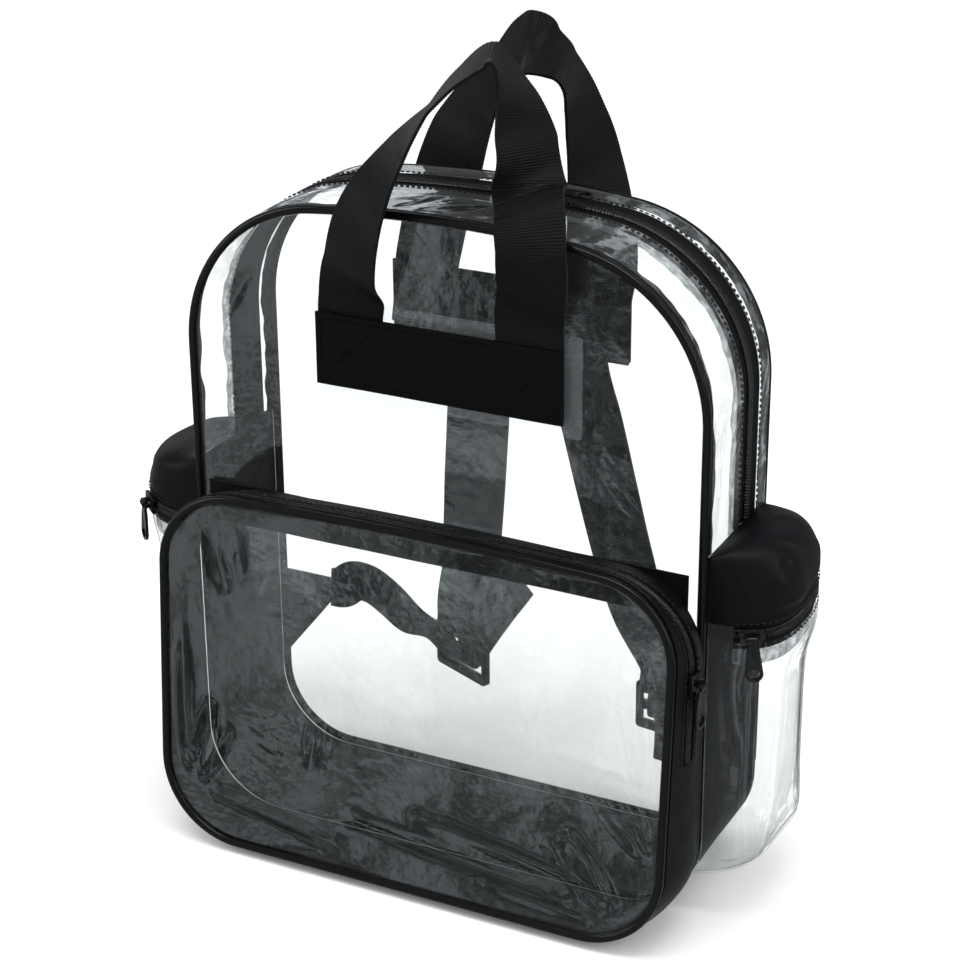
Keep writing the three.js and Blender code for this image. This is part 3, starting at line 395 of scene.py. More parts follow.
def ring_tube(name, path, out, side, radius, finish, nodes, sides=14, body="bag"):
    """A round cord along a closed path; out and side are its cross directions."""
    angle = 2 * math.pi * np.arange(sides) / sides
    ring = path[:, None] + radius * (
        np.cos(angle)[None, :, None] * out[:, None] + np.sin(angle)[None, :, None] * side[:, None])
    count = len(path)
    index = np.arange(count * sides).reshape(count, sides)
    turn, step = np.roll(index, -1, 1), np.roll(index, -1, 0)
    faces = np.stack([index, turn, np.roll(turn, -1, 0), step], -1).reshape(-1, 4)
    verts = ring.reshape(-1, 3)
    p, q, r = (verts[faces[:, k]] for k in range(3))
    if (p * np.cross(q, r)).sum() < 0:
        faces = faces[:, ::-1]
    return add_piece(name, verts, faces, finish, nodes, body)


for side, sign in [("front", -1), ("rear", 1)]:
    bead = whole_outline(body_shape, piping_radius)
    path = np.stack([bead[:, 0], np.full(len(bead), sign * piping_middle), bead[:, 1]], 1)
    out = np.stack([bead[:, 2], np.zeros(len(bead)), bead[:, 3]], 1)
    facing = np.broadcast_to([0.0, float(sign), 0.0], out.shape)
    ring_tube(f"{side}_piping_cord", path, out, facing, piping_radius, piping, [f"{side}_piping"])

# The clear upper gusset, in two strips beside the main zip. The wide front strip is
# rumpled where the hand lifts the bag, above the front panel's middle.
main_zip_y, main_zip_opening = 13 * mm, 22 * mm
main_zip_front, main_zip_rear = main_zip_y - main_zip_opening / 2, main_zip_y + main_zip_opening / 2
gusset_half = piping_middle - piping_radius - seam_gap


def strip(run, inset, front, rear, rows, shape=body_shape):
    line = outline(shape, inset, run)
    y = np.linspace(front, rear, rows)
    grid = np.empty((rows, len(line), 3))
    grid[..., 0], grid[..., 2] = line[:, 0], line[:, 1]
    grid[..., 1] = y[:, None]
    return grid


def lengthen(grid, count):
    """The same strip with its columns placed evenly along its length."""
    step = np.linalg.norm(np.diff(grid[0], axis=0), axis=1)
    walk = np.append(0, np.cumsum(step))
    even = np.linspace(0, walk[-1], count)
    return np.stack([
        np.stack([np.interp(even, walk, row[:, k]) for k in range(3)], -1) for row in grid])


crown_creases = [
    (-26, -36, 375, -8, -14, 375, 2.4, -1.5),
    (-14, -34, 375, 10, -18, 375, 2.0, 1.4),
    (2, -37, 375, 22, -12, 375, 2.2, -1.6),
    (-34, -20, 374, -4, -8, 375, 2.4, 1.2),
    (12, -36, 375, 30, -26, 375, 2.0, 1.2),
    (76, -30, 366, 120, -14, 345, 3.0, -0.9),
    (128, -30, 335, 146, -22, 290, 3.0, 0.9),
    (152, -20, 280, 152, -28, 225, 3.0, -0.9),
    (-146, -14, 310, -152, -26, 250, 3.0, 0.9),
]
for name, front, rear, seed in [
    ("upper_gusset_front", -gusset_half, main_zip_front, 5),
    ("upper_gusset_rear", main_zip_rear, gusset_half, 6),
]:
    grid = lengthen(strip("upper", clear_sheet / 2, front, rear, 15), 330)
    away_from_seams = np.sin(math.pi * np.linspace(0, 1, 15))[:, None] ** 0.5
    lift = waves(grid, 0.4 * mm, 60 * mm, seed) + creases(grid, crown_creases)
    grid += normals_of(grid) * (np.minimum(lift, 1.2 * mm) * away_from_seams)[..., None]
    sheet_piece(f"{name}_sheet", grid, clear_sheet, clear, [name])

# The main zip: a woven tape under the edges of the clear gusset, closed by a nylon coil
# with two rows of turns, and a line of stitches through the sheet on each side.
tape = Finish("black_zip_tape", "black_zip_tape")
spot, (u, v, _) = tape.place("UV")
rib = (v * (2 * math.pi / (1.1 * mm))).sine()
tape.end(tape.node("BsdfPrincipled", values={
    "Base Color": (0.0035, 0.0035, 0.0042, 1), "Roughness": 0.6, "Specular IOR Level": 0.1,
    "Normal": tape.bump(rib, 0.5, 0.12 * mm),
}))
coil_finish = Finish("black_zip_coil", "black_zip_coil")
coil_finish.end(coil_finish.node("BsdfPrincipled", values={
    "Base Color": (0.003, 0.003, 0.0036, 1), "Roughness": 0.22, "Specular IOR Level": 0.3,
}))
tape_thickness, tape_lap, stitch_inset = 0.8 * mm, 4 * mm, 2 * mm
coil_width, coil_height, coil_pitch = 5.6 * mm, 1.7 * mm, 1.8 * mm


def coil_piece(name, base, finish, nodes):
    """Two rows of nylon turns along a strip; base lies in the middle of the coil."""
    rows = len(base)
    walk = np.append(0, np.cumsum(np.linalg.norm(np.diff(base[rows // 2], axis=0), axis=1)))
    across = np.linspace(-1, 1, rows)[:, None]
    phase = 2 * math.pi * walk[None, :] / coil_pitch + np.where(across < 0, 0, math.pi)
    turn = np.abs(np.cos(phase / 2)) ** 0.7
    dome = np.sqrt(np.clip(1 - (2 * np.abs(np.abs(across) - 0.45)) ** 2 * 0.8, 0.05, 1))
    height = (coil_height * (0.45 * dome + 0.5 * dome * turn))[..., None]
    normal = normals_of(base)
    if (normal[rows // 2] * (base[rows // 2] - base.mean((0, 1)))).sum() < 0:
        normal = -normal
    middle = base - normal * (coil_height - height) / 2
    verts, faces = closed_sheet(middle, normal, height)
    return add_piece(name, verts, faces, finish, nodes)


thread = Finish("thread", "black_zip_tape")
thread.end(thread.node("BsdfPrincipled", values={
    "Base Color": (0.006, 0.006, 0.007, 1), "Roughness": 0.4, "Specular IOR Level": 0.25,
}))


def stitches(name, paths, finish, pitch=3.4 * mm, size=0.45 * mm):
    """Rows of lock stitches, each a short bead of thread; paths are lists of points."""
    verts, faces = [], []
    for path in paths:
        walk = np.append(0, np.cumsum(np.linalg.norm(np.diff(path, axis=0), axis=1)))
        for start in np.arange(pitch / 2, walk[-1] - pitch / 2, pitch):
            a, b = (np.array([np.interp(start + shift, walk, path[:, k]) for k in range(3)])
                    for shift in (-0.36 * pitch, 0.36 * pitch))
            run = (b - a) / np.linalg.norm(b - a)
            side = np.cross(run, [0.31, 0.52, 0.8])
            side /= np.linalg.norm(side)
            up = np.cross(run, side)
            base = len(verts)
            verts.append(a)
            for share in (0.2, 0.8):
                for k in range(5):
                    angle = 2 * math.pi * k / 5
                    spread = math.cos(angle) * side + math.sin(angle) * up
                    verts.append(a + (b - a) * share + size * spread)
            verts.append(b)
            for k in range(5):
                n = (k + 1) % 5
                faces.append((base, base + 1 + n, base + 1 + k))
                faces.append((base + 1 + k, base + 1 + n, base + 6 + n, base + 6 + k))
                faces.append((base + 11, base + 6 + k, base + 6 + n))
    mesh = bpy.data.meshes.new(name)
    mesh.from_pydata([tuple(v) for v in verts], [], faces)
    mesh.shade_smooth()
    mesh.materials.append(finish.made)
    piece = bpy.data.objects.new(name, mesh)
    scene.collection.objects.link(piece)
    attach(piece, "bag")
    return piece


tape_inset = clear_sheet + seam_gap
tape_middle = tape_inset + tape_thickness / 2
grid = strip("upper", tape_middle, main_zip_front - tape_lap, main_zip_rear + tape_lap, 9)
sheet_piece("main_zip_tape_cloth", lengthen(grid, 300), tape_thickness, tape, ["main_zip_tape"])
coil_inset = clear_sheet - coil_height / 2
grid = strip("upper", coil_inset, main_zip_y - coil_width / 2, main_zip_y + coil_width / 2, 9)
coil_piece("main_zip_coil_turns", lengthen(grid, 1600), coil_finish, ["main_zip_coil"])
for name, y in [("front", main_zip_front - stitch_inset), ("rear", main_zip_rear + stitch_inset)]:
    line = outline(body_shape, -0.25 * mm, "upper")
    path = np.stack([line[:, 0], np.full(len(line), y), line[:, 1]], 1)
    stitches(f"main_zip_stitches_{name}", [path], thread)

# The base: one black nylon strip that runs down one side, under the bag and up the other
# side. It is coated cloth, so it is matt, with a fine plain weave and soft buckles.
nylon = Finish("black_nylon", "black_nylon")
spot, (x, y, z) = nylon.place()
yarn = 2 * math.pi / (0.9 * mm)
weave = ((x + z) * yarn).sine() * ((y - z) * yarn).sine()
cockle = nylon.noise(spot, 18 * mm, 3.0)
nylon.end(nylon.node("BsdfPrincipled", values={
    "Base Color": (0.0035, 0.0038, 0.0048, 1), "Roughness": 0.45, "Specular IOR Level": 0.09,
    "Normal": nylon.bump(weave * 0.003 + cockle, 0.6, 1.4 * mm),
}))
grid = strip("lower", nylon_sheet / 2, -gusset_half, gusset_half, 19)
lift = waves(grid, 0.5 * mm, 70 * mm, 21) * np.sin(math.pi * np.linspace(0, 1, 19))[:, None]
lift = np.where(grid[..., 2] < 12 * mm, 0, lift)
inward = np.stack([-np.sign(grid[..., 0]), np.zeros(grid.shape[:2]), np.zeros(grid.shape[:2])], -1)
grid += inward * (np.abs(lift) * np.clip((grid[..., 2] - 12 * mm) / (30 * mm), 0, 1))[..., None]
sheet_piece("lower_gusset_cloth", grid, nylon_sheet, nylon, ["lower_gusset"])

# Seams of the upper gusset, seen through the clear sheet: a black binding tape along each
# piping and the sheet's doubled edge in front of the zip. A rumpled black sheet under the
# crown between the legs of the handle makes the clear top look dark there.
hem = Finish("clear_hem", "clear_pvc")
spot, _ = hem.place()
streaks = hem.node("ValToRGB", {"stops": [(0.38, (0, 0, 0, 1)), (0.62, (1, 1, 1, 1))]},
                   {0: hem.noise(spot, 6 * mm, 4.0)})
veil = hem.node("BsdfPrincipled", values={
    "Base Color": (0.10, 0.11, 0.115, 1), "Roughness": 0.2,
    "Normal": hem.bump(hem.noise(spot, 4 * mm, 3.0), 0.8, 1.0 * mm),
})
see = hem.node("BsdfTransparent", values={0: (0.93, 0.95, 0.95, 1)})
hem.end(hem.node("MixShader", values={0: streaks * 0.3 + 0.25, 1: see, 2: veil}))


def seam_strip(name, edge, wide, finish, seed):
    """A tape along a seam of the gusset, with an uneven free edge."""
    rows, ripple = 7, 1.2 * mm
    grid = lengthen(strip("upper", under_sheet, edge, edge + wide, rows), 300)
    share = np.linspace(0, 1, rows)[:, None]
    uneven = waves(grid, ripple, 30 * mm, seed) + waves(grid, ripple / 2, 11 * mm, seed + 1)
    grid[..., 1] += share * uneven * np.sign(wide)
    grid -= normals_of(grid) * (waves(grid, 0.3 * mm, 25 * mm, seed + 2) * share)[..., None]
    sheet_piece(name, grid, 0.5 * mm, finish, [])


under_sheet = clear_sheet + 0.6 * mm
before_tape = main_zip_front - tape_lap
seam_strip("front_seam_binding", -gusset_half, 5.5 * mm, nylon, 71)
seam_strip("rear_seam_binding", gusset_half, -7 * mm, nylon, 74)
seam_strip("zip_hem_front", before_tape - 0.6 * mm, -7 * mm, hem, 77)
# A rumpled black sheet just under the clear crown, between the handle's legs, which makes the clear top
# look dark there.
dark_sheet = strip("upper", 0, -gusset_half + 1 * mm, before_tape - 1 * mm, 21)
dark_sheet_middle, dark_sheet_half = -6 * mm, 52 * mm
dark_sheet = lengthen(dark_sheet[:, np.abs(dark_sheet[0, :, 0] - dark_sheet_middle) < dark_sheet_half], 130)
hang = np.sin(math.pi * np.linspace(0, 1, 21))[:, None] ** 0.7
crumple = waves(dark_sheet, 1.2 * mm, 22 * mm, 81) + waves(dark_sheet, 0.5 * mm, 9 * mm, 82)
dark_sheet[..., 2] -= 2.4 * mm + hang * (2.2 * mm + crumple)
sheet_piece("crown_dark_sheet", dark_sheet, 0.6 * mm, nylon, [])

# The front pocket: a nylon gusset sewn to the body and to a clear front that leans back,
# with a zip round its upper half. The outlines share their points one to one.
pocket_zip_end, pocket_lift, pocket_front_top = 112 * mm, 4 * mm, 216 * mm
pocket_deep, pocket_shallow, pocket_swell = 53 * mm, 37 * mm, 4 * mm
pocket_back = {
    "half": body_half, "bottom": 0, "top": 205 * mm, "crown": 2600 * mm,
    "top_radius": 46 * mm, "bottom_radius": 46 * mm, "split": pocket_zip_end,
}
pocket_front = {
    "half": 153 * mm, "bottom": pocket_lift, "top": pocket_front_top, "crown": 2600 * mm,
    "top_radius": 46 * mm, "bottom_radius": 48 * mm, "split": pocket_zip_end,
}
lean = math.atan2(pocket_deep - pocket_shallow, pocket_front_top - pocket_lift)
pocket_up = np.array([0, math.sin(lean), math.cos(lean)])
pocket_facing = np.array([0, -math.cos(lean), math.sin(lean)])


def on_pocket_front(x, z):
    foot = np.array([0, -body_half_depth - pocket_deep, pocket_lift])
    return foot + x[..., None] * np.array([1.0, 0, 0]) + (z - pocket_lift)[..., None] * pocket_up


def pocket_strip(run, inset, start, end, rows):
    """Rows between the pocket's back edge, at 0, and its front edge, at 1."""
    back, front = outline(pocket_back, inset, run), outline(pocket_front, inset, run)
    a = np.stack([back[:, 0], np.full(len(back), -body_half_depth - seam_gap), back[:, 1]], 1)
    b = on_pocket_front(front[:, 0], front[:, 1]) - pocket_facing * (2 * piping_radius + seam_gap)
    share = np.linspace(start, end, rows)[:, None, None]
    grid = a + (b - a) * share
    grid[..., 0] += pocket_swell * np.sin(math.pi * share[..., 0]) * back[:, 2] * np.abs(back[:, 2])
    return grid


def sagged(grid, size, length, seed):
    """A strip with slow waves along it that die away at its two long edges."""
    fade = np.sin(math.pi * np.linspace(0, 1, len(grid)))[:, None]
    return grid + normals_of(grid) * (waves(grid, size, length, seed) * fade)[..., None]


pocket_mean = (pocket_deep + pocket_shallow) / 2
zip_place, zip_half = 0.66, 5.5 * mm / pocket_mean
zip_lap, coil_half = (5.5 * mm + tape_lap) / pocket_mean, coil_width / 2 / pocket_mean
middle = nylon_sheet / 2
grid = sagged(pocket_strip("lower", middle, 0, 1, 21), 0.5 * mm, 60 * mm, 31)
sheet_piece("pocket_lower_gusset_cloth", grid, nylon_sheet, nylon, ["pocket_lower_gusset"])
grid = sagged(pocket_strip("upper", middle, 0, zip_place - zip_half, 15), 0.4 * mm, 50 * mm, 32)
sheet_piece("pocket_rear_gusset_cloth", grid, nylon_sheet, nylon, ["pocket_upper_gusset_rear"])
grid = pocket_strip("upper", middle, zip_place + zip_half, 1, 7)
sheet_piece("pocket_fore_gusset_cloth", grid, nylon_sheet, nylon, ["pocket_upper_gusset_front"])
under = nylon_sheet + seam_gap
tape_start, tape_end = zip_place - zip_lap, min(zip_place + zip_lap, 1)
grid = pocket_strip("upper", under + tape_thickness / 2, tape_start, tape_end, 9)
sheet_piece("pocket_zip_tape_cloth", grid, tape_thickness, tape, ["pocket_zip_tape"])
cloth_coil_inset = nylon_sheet - coil_height / 2
grid = pocket_strip("upper", cloth_coil_inset, zip_place - coil_half, zip_place + coil_half, 9)
coil_piece("pocket_zip_coil_turns", lengthen(grid, 1100), coil_finish, ["pocket_zip_coil"])
bead = whole_outline(pocket_front, piping_radius)
path = on_pocket_front(bead[:, 0], bead[:, 1]) - pocket_facing * piping_radius
out = bead[:, 2:3] * np.array([1.0, 0, 0]) + bead[:, 3:4] * pocket_up
facing = np.broadcast_to(pocket_facing, out.shape)
ring_tube("pocket_piping_cord", path, out, facing, piping_radius, piping, ["pocket_piping"])
for name, share in [("rear", zip_place - zip_half - 0.05), ("fore", zip_place + zip_half + 0.05)]:
    line = pocket_strip("upper", -0.3 * mm, share, share + 0.01, 2)[0]
    stitches(f"pocket_zip_stitches_{name}", [line], thread)

pocket_creases = [
    # x0, y0, z0, x1, y1, z1, width, height
    (99, -90, 62, 124, -92, 30, 4.4, -2.0),
    (88, -90, 54, 116, -93, 28, 3.9, 1.7),
    (111, -88, 92, 140, -90, 62, 4.2, -1.7),
    (122, -88, 100, 142, -90, 74, 3.6, 1.5),
    (9, -92, 51, 104, -93, 36, 4.7, -1.7),
    (-30, -92, 40, 96, -94, 24, 4.4, 1.6),
    (52, -93, 22, 110, -94, 16, 3.9, -1.4),
    (128, -86, 150, 141, -89, 96, 3.9, 1.4),
    (136, -84, 170, 143, -87, 128, 3.4, -1.4),
    (-121, -89, 86, -129, -91, 56, 4.4, -1.8),
    (-112, -90, 72, -126, -92, 44, 3.9, 1.6),
    (-55, -89, 94, -58, -91, 66, 3.9, -1.4),
    (-48, -89, 90, -50, -91, 70, 3.4, 1.1),
    (-120, -84, 186, -112, -85, 160, 4.4, -1.5),
    (-104, -84, 190, -101, -86, 168, 3.6, 1.4),
    (-140, -88, 130, -138, -91, 50, 4.4, 1.4),
    (-118, -92, 34, -40, -93, 22, 4.2, 1.4),
    (-20, -84, 196, 40, -84, 192, 5.2, 0.9),
]
pocket_rows, pocket_columns = 140, 190
x, z = panel_grid(pocket_front, panel_inset, pocket_rows, pocket_columns)
grid = on_pocket_front(x, z) - pocket_facing * piping_radius
edge_fade = np.clip((pocket_front["half"] - panel_inset - np.abs(x)) / (12 * mm), 0, 1)
edge_fade = edge_fade * np.sin(math.pi * np.linspace(0, 1, pocket_rows))[:, None] ** 0.4
lift = waves(grid, 0.8 * mm, 110 * mm, 41) + creases(grid, pocket_creases)
grid = grid + pocket_facing * (lift * edge_fade)[..., None]
cut = (2 * (pocket_front["half"] - panel_inset), pocket_front_top - pocket_lift - 2 * panel_inset)
sheet_piece("pocket_front_sheet", grid, clear_sheet, clear, ["pocket_front_panel"],
            flat=cut)
low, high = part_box("pocket_facing")
x, z = np.meshgrid(np.linspace(low[0], high[0], 90), np.linspace(low[2], high[2], 9))
grid = np.stack([x, np.full(x.shape, (low[1] + high[1]) / 2), z], -1)
grid[..., 1] += waves(grid, 0.25 * mm, 60 * mm, 42) - 0.2 * mm
sheet_piece("pocket_facing_cloth", grid, nylon_sheet, nylon, ["pocket_facing"])

# The side pockets: a clear lower part gathered in at its bottom, a zip round the outside
# and a nylon hood above it. The left hood has slumped and the right one is puffed up.
side_half_depth, side_bottom, side_hood_top = 38.6 * mm, 24 * mm, 212.7 * mm
side_zip_front, side_zip_rear = 172 * mm, 184 * mm
side_opening, side_square, side_columns, side_sheet_rows, hood_row_count = 4.5 * mm, 2.7, 81, 60, 50
# share of the height, share of the bulge, squareness of the plan, share at the seams
clear_rows = [
    (0.00, 0.00, 5.0, 0.00), (0.03, 0.45, 5.0, 0.03), (0.08, 0.74, 5.0, 0.08), (0.12, 0.78, 4.8, 0.12),
    (0.17, 0.80, 4.4, 0.17), (0.45, 0.82, 3.6, 0.45), (0.75, 0.86, 3.0, 0.75), (0.92, 0.99, 2.7, 0.92),
    (1.00, 1.00, 2.7, 1.00),
]
hood_rows_right = [
    (0.00, 1.00, 2.7, 0.00), (0.20, 1.00, 2.7, 0.20), (0.35, 1.02, 2.7, 0.35), (0.70, 0.97, 2.7, 0.50),
    (1.00, 0.84, 2.7, 0.66), (1.20, 0.62, 2.6, 0.78), (1.22, 0.30, 2.6, 0.88), (1.00, 0.00, 2.6, 1.00),
]
hood_rows_left = [
    (0.00, 1.00, 2.7, 0.00), (0.20, 1.00, 2.7, 0.20), (0.35, 0.97, 2.7, 0.35), (0.50, 0.94, 2.7, 0.50),
    (0.66, 0.84, 2.7, 0.66), (0.78, 0.60, 2.6, 0.78), (0.88, 0.30, 2.6, 0.88), (1.00, 0.00, 2.6, 1.00),
]


def smooth_rows(rows, count):
    """The rows of a table joined by a smooth curve, with count rows in all."""
    table = np.array(rows)
    padded = np.concatenate([2 * table[:1] - table[1:2], table, 2 * table[-1:] - table[-2:-1]])
    made = []
    for t in np.linspace(0, len(rows) - 1 - 1e-9, count):
        k, f = int(t), t - int(t)
        p = padded[k:k + 4]
        bend = 2 * p[0] - 5 * p[1] + 4 * p[2] - p[3]
        twist = 3 * p[1] - p[0] - 3 * p[2] + p[3]
        made.append(0.5 * (2 * p[1] + (p[2] - p[0]) * f + bend * f ** 2 + twist * f ** 3))
    return np.array(made)


def body_side(z):
    """How far out the body's side is at a height, with its rounded lower corner."""
    corner = body_shape["bottom_radius"]
    below = np.maximum(corner - z, 0)
    return body_half - corner + np.sqrt(np.maximum(corner ** 2 - below ** 2, 0))


def side_point(sign, bulge, angle, z, row_bulge, square, inset):
    """Points of a side pocket in plan: a squared half oval from its front seam to its rear."""
    power = 2 / square
    across, out = np.cos(angle), np.abs(np.sin(angle)) ** power
    reach = np.maximum(bulge * row_bulge - inset, 0)
    y = -np.sign(across) * np.abs(across) ** power * (side_half_depth - inset)
    return np.stack([sign * (body_side(z) + seam_gap + reach * out), y, z], -1)


def side_zip_height(angle):
    return side_zip_front + (side_zip_rear - side_zip_front) * (1 - np.cos(angle)) / 2


def side_grid(rows, count, sign, bulge, low, high, inset):
    angle = np.linspace(0, math.pi, side_columns)[None, :]
    table = smooth_rows(rows, count)
    share, row_bulge, square, seam = (table[:, k:k + 1] for k in range(4))
    z = low(angle) + (high(angle) - low(angle)) * (seam + (share - seam) * np.sin(angle))
    return side_point(sign, bulge, angle, z, np.maximum(row_bulge, 0), square, inset)


def side_band(sign, bulge, inset, lift, rows, columns):
    angle = np.linspace(math.pi / 14, math.pi * 13 / 14, columns)[None, :]
    rise = np.linspace(-lift, lift, rows)[:, None]
    z = side_zip_height(angle) + rise
    return side_point(sign, bulge, angle + 0 * rise, z, 1.0, side_square, inset)


def pushed_out(grid, sign, lift):
    """A side pocket's grid moved along its normals, outwards where lift is positive."""
    normal = normals_of(grid)
    normal *= np.sign((normal[..., 0] * sign).mean())
    return grid + normal * lift[..., None]


hood_creases = {
    "right": [
        (160, -33, 196, 196, -14, 214, 2.6, -2.2), (164, -30, 206, 190, -24, 200, 2.2, 1.6),
        (158, -36, 210, 172, -34, 192, 2.0, -1.6), (166, -37, 206, 176, -35, 190, 2.0, 1.4),
        (175, -20, 219, 192, 6, 212, 3.0, -1.5), (170, 12, 220, 192, 20, 200, 3.0, 1.4),
        (185, -30, 190, 195, -6, 188, 2.4, 1.2), (160, 30, 210, 184, 34, 192, 2.6, -1.4),
    ],
    "left": [
        (-160, -34, 204, -196, -20, 192, 2.6, -2.0), (-158, -35, 196, -190, -30, 186, 2.2, 1.4),
        (-160, 6, 210, -198, 2, 194, 3.2, -2.0), (-160, 26, 208, -194, 22, 190, 2.8, 1.6),
        (-176, -10, 204, -202, -8, 186, 2.6, 1.4),
    ],
}
sheet_creases = {
    "right": [
        (190, -26, 150, 186, -30, 60, 4.4, -1.9), (178, -38, 140, 172, -38, 52, 4.4, 1.9),
        (194, 0, 150, 186, 4, 48, 5.0, 1.7), (186, -24, 70, 160, -34, 34, 3.3, -2.4),
        (184, -10, 60, 162, -20, 28, 3.3, 2.2), (160, -38, 150, 166, -38, 96, 3.3, -1.4),
        (180, 20, 66, 160, 26, 30, 3.3, -2.2), (192, 26, 140, 184, 28, 70, 4.4, -1.7),
    ],
    "left": [
        (-196, -20, 150, -190, -24, 60, 4.4, -1.9), (-180, -38, 140, -176, -38, 52, 4.4, 1.9),
        (-198, 8, 150, -190, 10, 52, 5.0, 1.7), (-190, -20, 66, -162, -30, 32, 3.3, -2.4),
    ],
}
for side, sign, bulge, hood_rows in [
    ("left", -1, 50 * mm, hood_rows_left), ("right", 1, 41 * mm, hood_rows_right),
]:
    seam_fade = np.sin(math.pi * np.linspace(0, 1, side_columns)) ** 0.5
    grid = side_grid(clear_rows, side_sheet_rows, sign, bulge, lambda a: side_bottom + 0 * a,
                     lambda a: side_zip_height(a) - side_opening, clear_sheet / 2)
    fade = seam_fade * np.clip(np.linspace(1, -0.02, side_sheet_rows)[:, None] * 6, 0, 1)
    lift = waves(grid, 0.9 * mm, 75 * mm, 51) + creases(grid, sheet_creases[side])
    grid = pushed_out(grid, sign, np.minimum(lift, 1.4 * mm) * fade)
    sheet_piece(f"side_pocket_sheet_{side}", grid, clear_sheet, clear, [f"side_pocket_clear_{side}"])
    grid = side_grid(hood_rows, hood_row_count, sign, bulge,
                     lambda a: side_zip_height(a) + side_opening,
                     lambda a: side_hood_top + 0 * a, nylon_sheet / 2)
    fade = seam_fade * np.sin(math.pi * np.linspace(0, 1, hood_row_count))[:, None] ** 0.5
    lift = waves(grid, 1.0 * mm, 45 * mm, 52) + creases(grid, hood_creases[side])
    grid = pushed_out(grid, sign, lift * fade)
    sheet_piece(f"side_pocket_hood_cloth_{side}", grid, nylon_sheet, nylon,
                [f"side_pocket_hood_{side}"])
    band = side_band(sign, bulge, under + tape_thickness / 2, side_opening + tape_lap, 9, 70)
    sheet_piece(f"side_zip_tape_cloth_{side}", band, tape_thickness, tape, [f"side_zip_tape_{side}"])
    band = side_band(sign, bulge, cloth_coil_inset, coil_width / 2, 9, 330)
    coil_piece(f"side_zip_coil_turns_{side}", band, coil_finish, [f"side_zip_coil_{side}"])
    angle = np.linspace(math.pi / 14, math.pi * 13 / 14, 90)[None, :]
    drop = np.linspace(-side_opening - tape_lap - 0.5 * mm, -side_opening - 13 * mm, 7)[:, None]
    band = side_point(sign, bulge, angle + 0 * drop, side_zip_height(angle) + drop, 0.985,
                      side_square, clear_sheet + 0.9 * mm)
    sheet_piece(f"side_zip_hem_{side}", band, 0.5 * mm, hem, [])
    for line, rise in [("upper", side_opening + stitch_inset), ("lower", -side_opening - stitch_inset)]:
        path = side_band(sign, bulge, -0.3 * mm, rise, 3, 70)[2]
        stitches(f"side_zip_stitches_{line}_{side}", [path], thread)

# Webbing: flat ribbed polyester. Each carry handle is one ribbon whose ends go under a
# sewn patch; the shoulder straps and lower straps are ribbons through their ladder locks.
webbing = Finish("black_webbing", "black_webbing")
spot, (u, v, _) = webbing.place("UV")
cords = 2 * math.pi / (1.5 * mm)
fine = 2 * math.pi / (0.75 * mm)
height = (v * cords).sine() * 0.7 + (u * fine).sine() * 0.25
webbing.end(webbing.node("BsdfPrincipled", values={
    "Base Color": (0.0032, 0.0032, 0.004, 1), "Roughness": 0.42, "Specular IOR Level": 0.11,
    "Normal": webbing.bump(height, 0.5, 0.16 * mm),
}))
webbing_width, webbing_thickness, narrow_width = 38 * mm, 1.6 * mm, 25 * mm
panel_face = piping_middle + clear_sheet / 2
backing_y = -(panel_face + seam_gap + 0.4 * mm)
front_y = (backing_y - 0.4 * mm - seam_gap - webbing_thickness / 2) / mm
rear_y = (panel_face + seam_gap + webbing_thickness / 2) / mm
strap_y = rear_y + 1.9


def ribbon(rows, width, rib=0.12 * mm, columns=11):
    """A ribbon along a smooth path; each row is x, y, z, turn and tip in mm and degrees."""
    table = np.array(rows, dtype=float)
    spots = table[:, :3] * mm
    ends = np.concatenate([2 * spots[:1] - spots[1:2], spots, 2 * spots[-1:] - spots[-2:-1]])
    share = np.linspace(0, len(rows) - 1 - 1e-9, 3000)
    k = share.astype(int)
    f = (share - k)[:, None]
    p0, p1, p2, p3 = (ends[k + i] for i in range(4))
    d0, d1, d2 = (np.sqrt(np.linalg.norm(b - a, axis=1, keepdims=True))
                  for a, b in ((p0, p1), (p1, p2), (p2, p3)))
    t1 = ((p1 - p0) / d0 - (p2 - p0) / (d0 + d1) + (p2 - p1) / d1) * d1
    t2 = ((p2 - p1) / d1 - (p3 - p1) / (d1 + d2) + (p3 - p2) / d2) * d1
    path = p1 + t1 * f + (3 * (p2 - p1) - 2 * t1 - t2) * f ** 2 + (2 * (p1 - p2) + t1 + t2) * f ** 3
    angles = np.radians([np.interp(share, np.arange(len(rows)), table[:, c]) for c in (3, 4)])
    walk = np.append(0, np.cumsum(np.linalg.norm(np.diff(path, axis=0), axis=1)))
    even = np.arange(0, walk[-1], 0.375 * mm)
    path = np.stack([np.interp(even, walk, path[:, c]) for c in range(3)], 1)
    turn, tip = (np.interp(even, walk, a) for a in angles)
    across = np.stack([np.cos(turn) * np.cos(tip), -np.sin(turn) * np.cos(tip), -np.sin(tip)], 1)
    window = np.exp(-np.linspace(-2, 2, 25) ** 2)
    tangent = np.gradient(path, axis=0)
    tangent /= np.linalg.norm(tangent, axis=1, keepdims=True)
    across -= (across * tangent).sum(1, keepdims=True) * tangent
    across /= np.linalg.norm(across, axis=1, keepdims=True)
    padded = np.pad(across, ((12, 12), (0, 0)), mode="edge")
    across = np.stack([np.convolve(padded[:, c], window / window.sum(), "valid") for c in range(3)], 1)
    across /= np.linalg.norm(across, axis=1, keepdims=True)
    side = np.linspace(-0.5, 0.5, columns)
    grid = path[:, None] + across[:, None] * side[None, :, None] * width
    ribs = rib * np.sin(even * cords)[:, None] * np.ones(columns)
    return grid + normals_of(grid) * ribs[..., None]


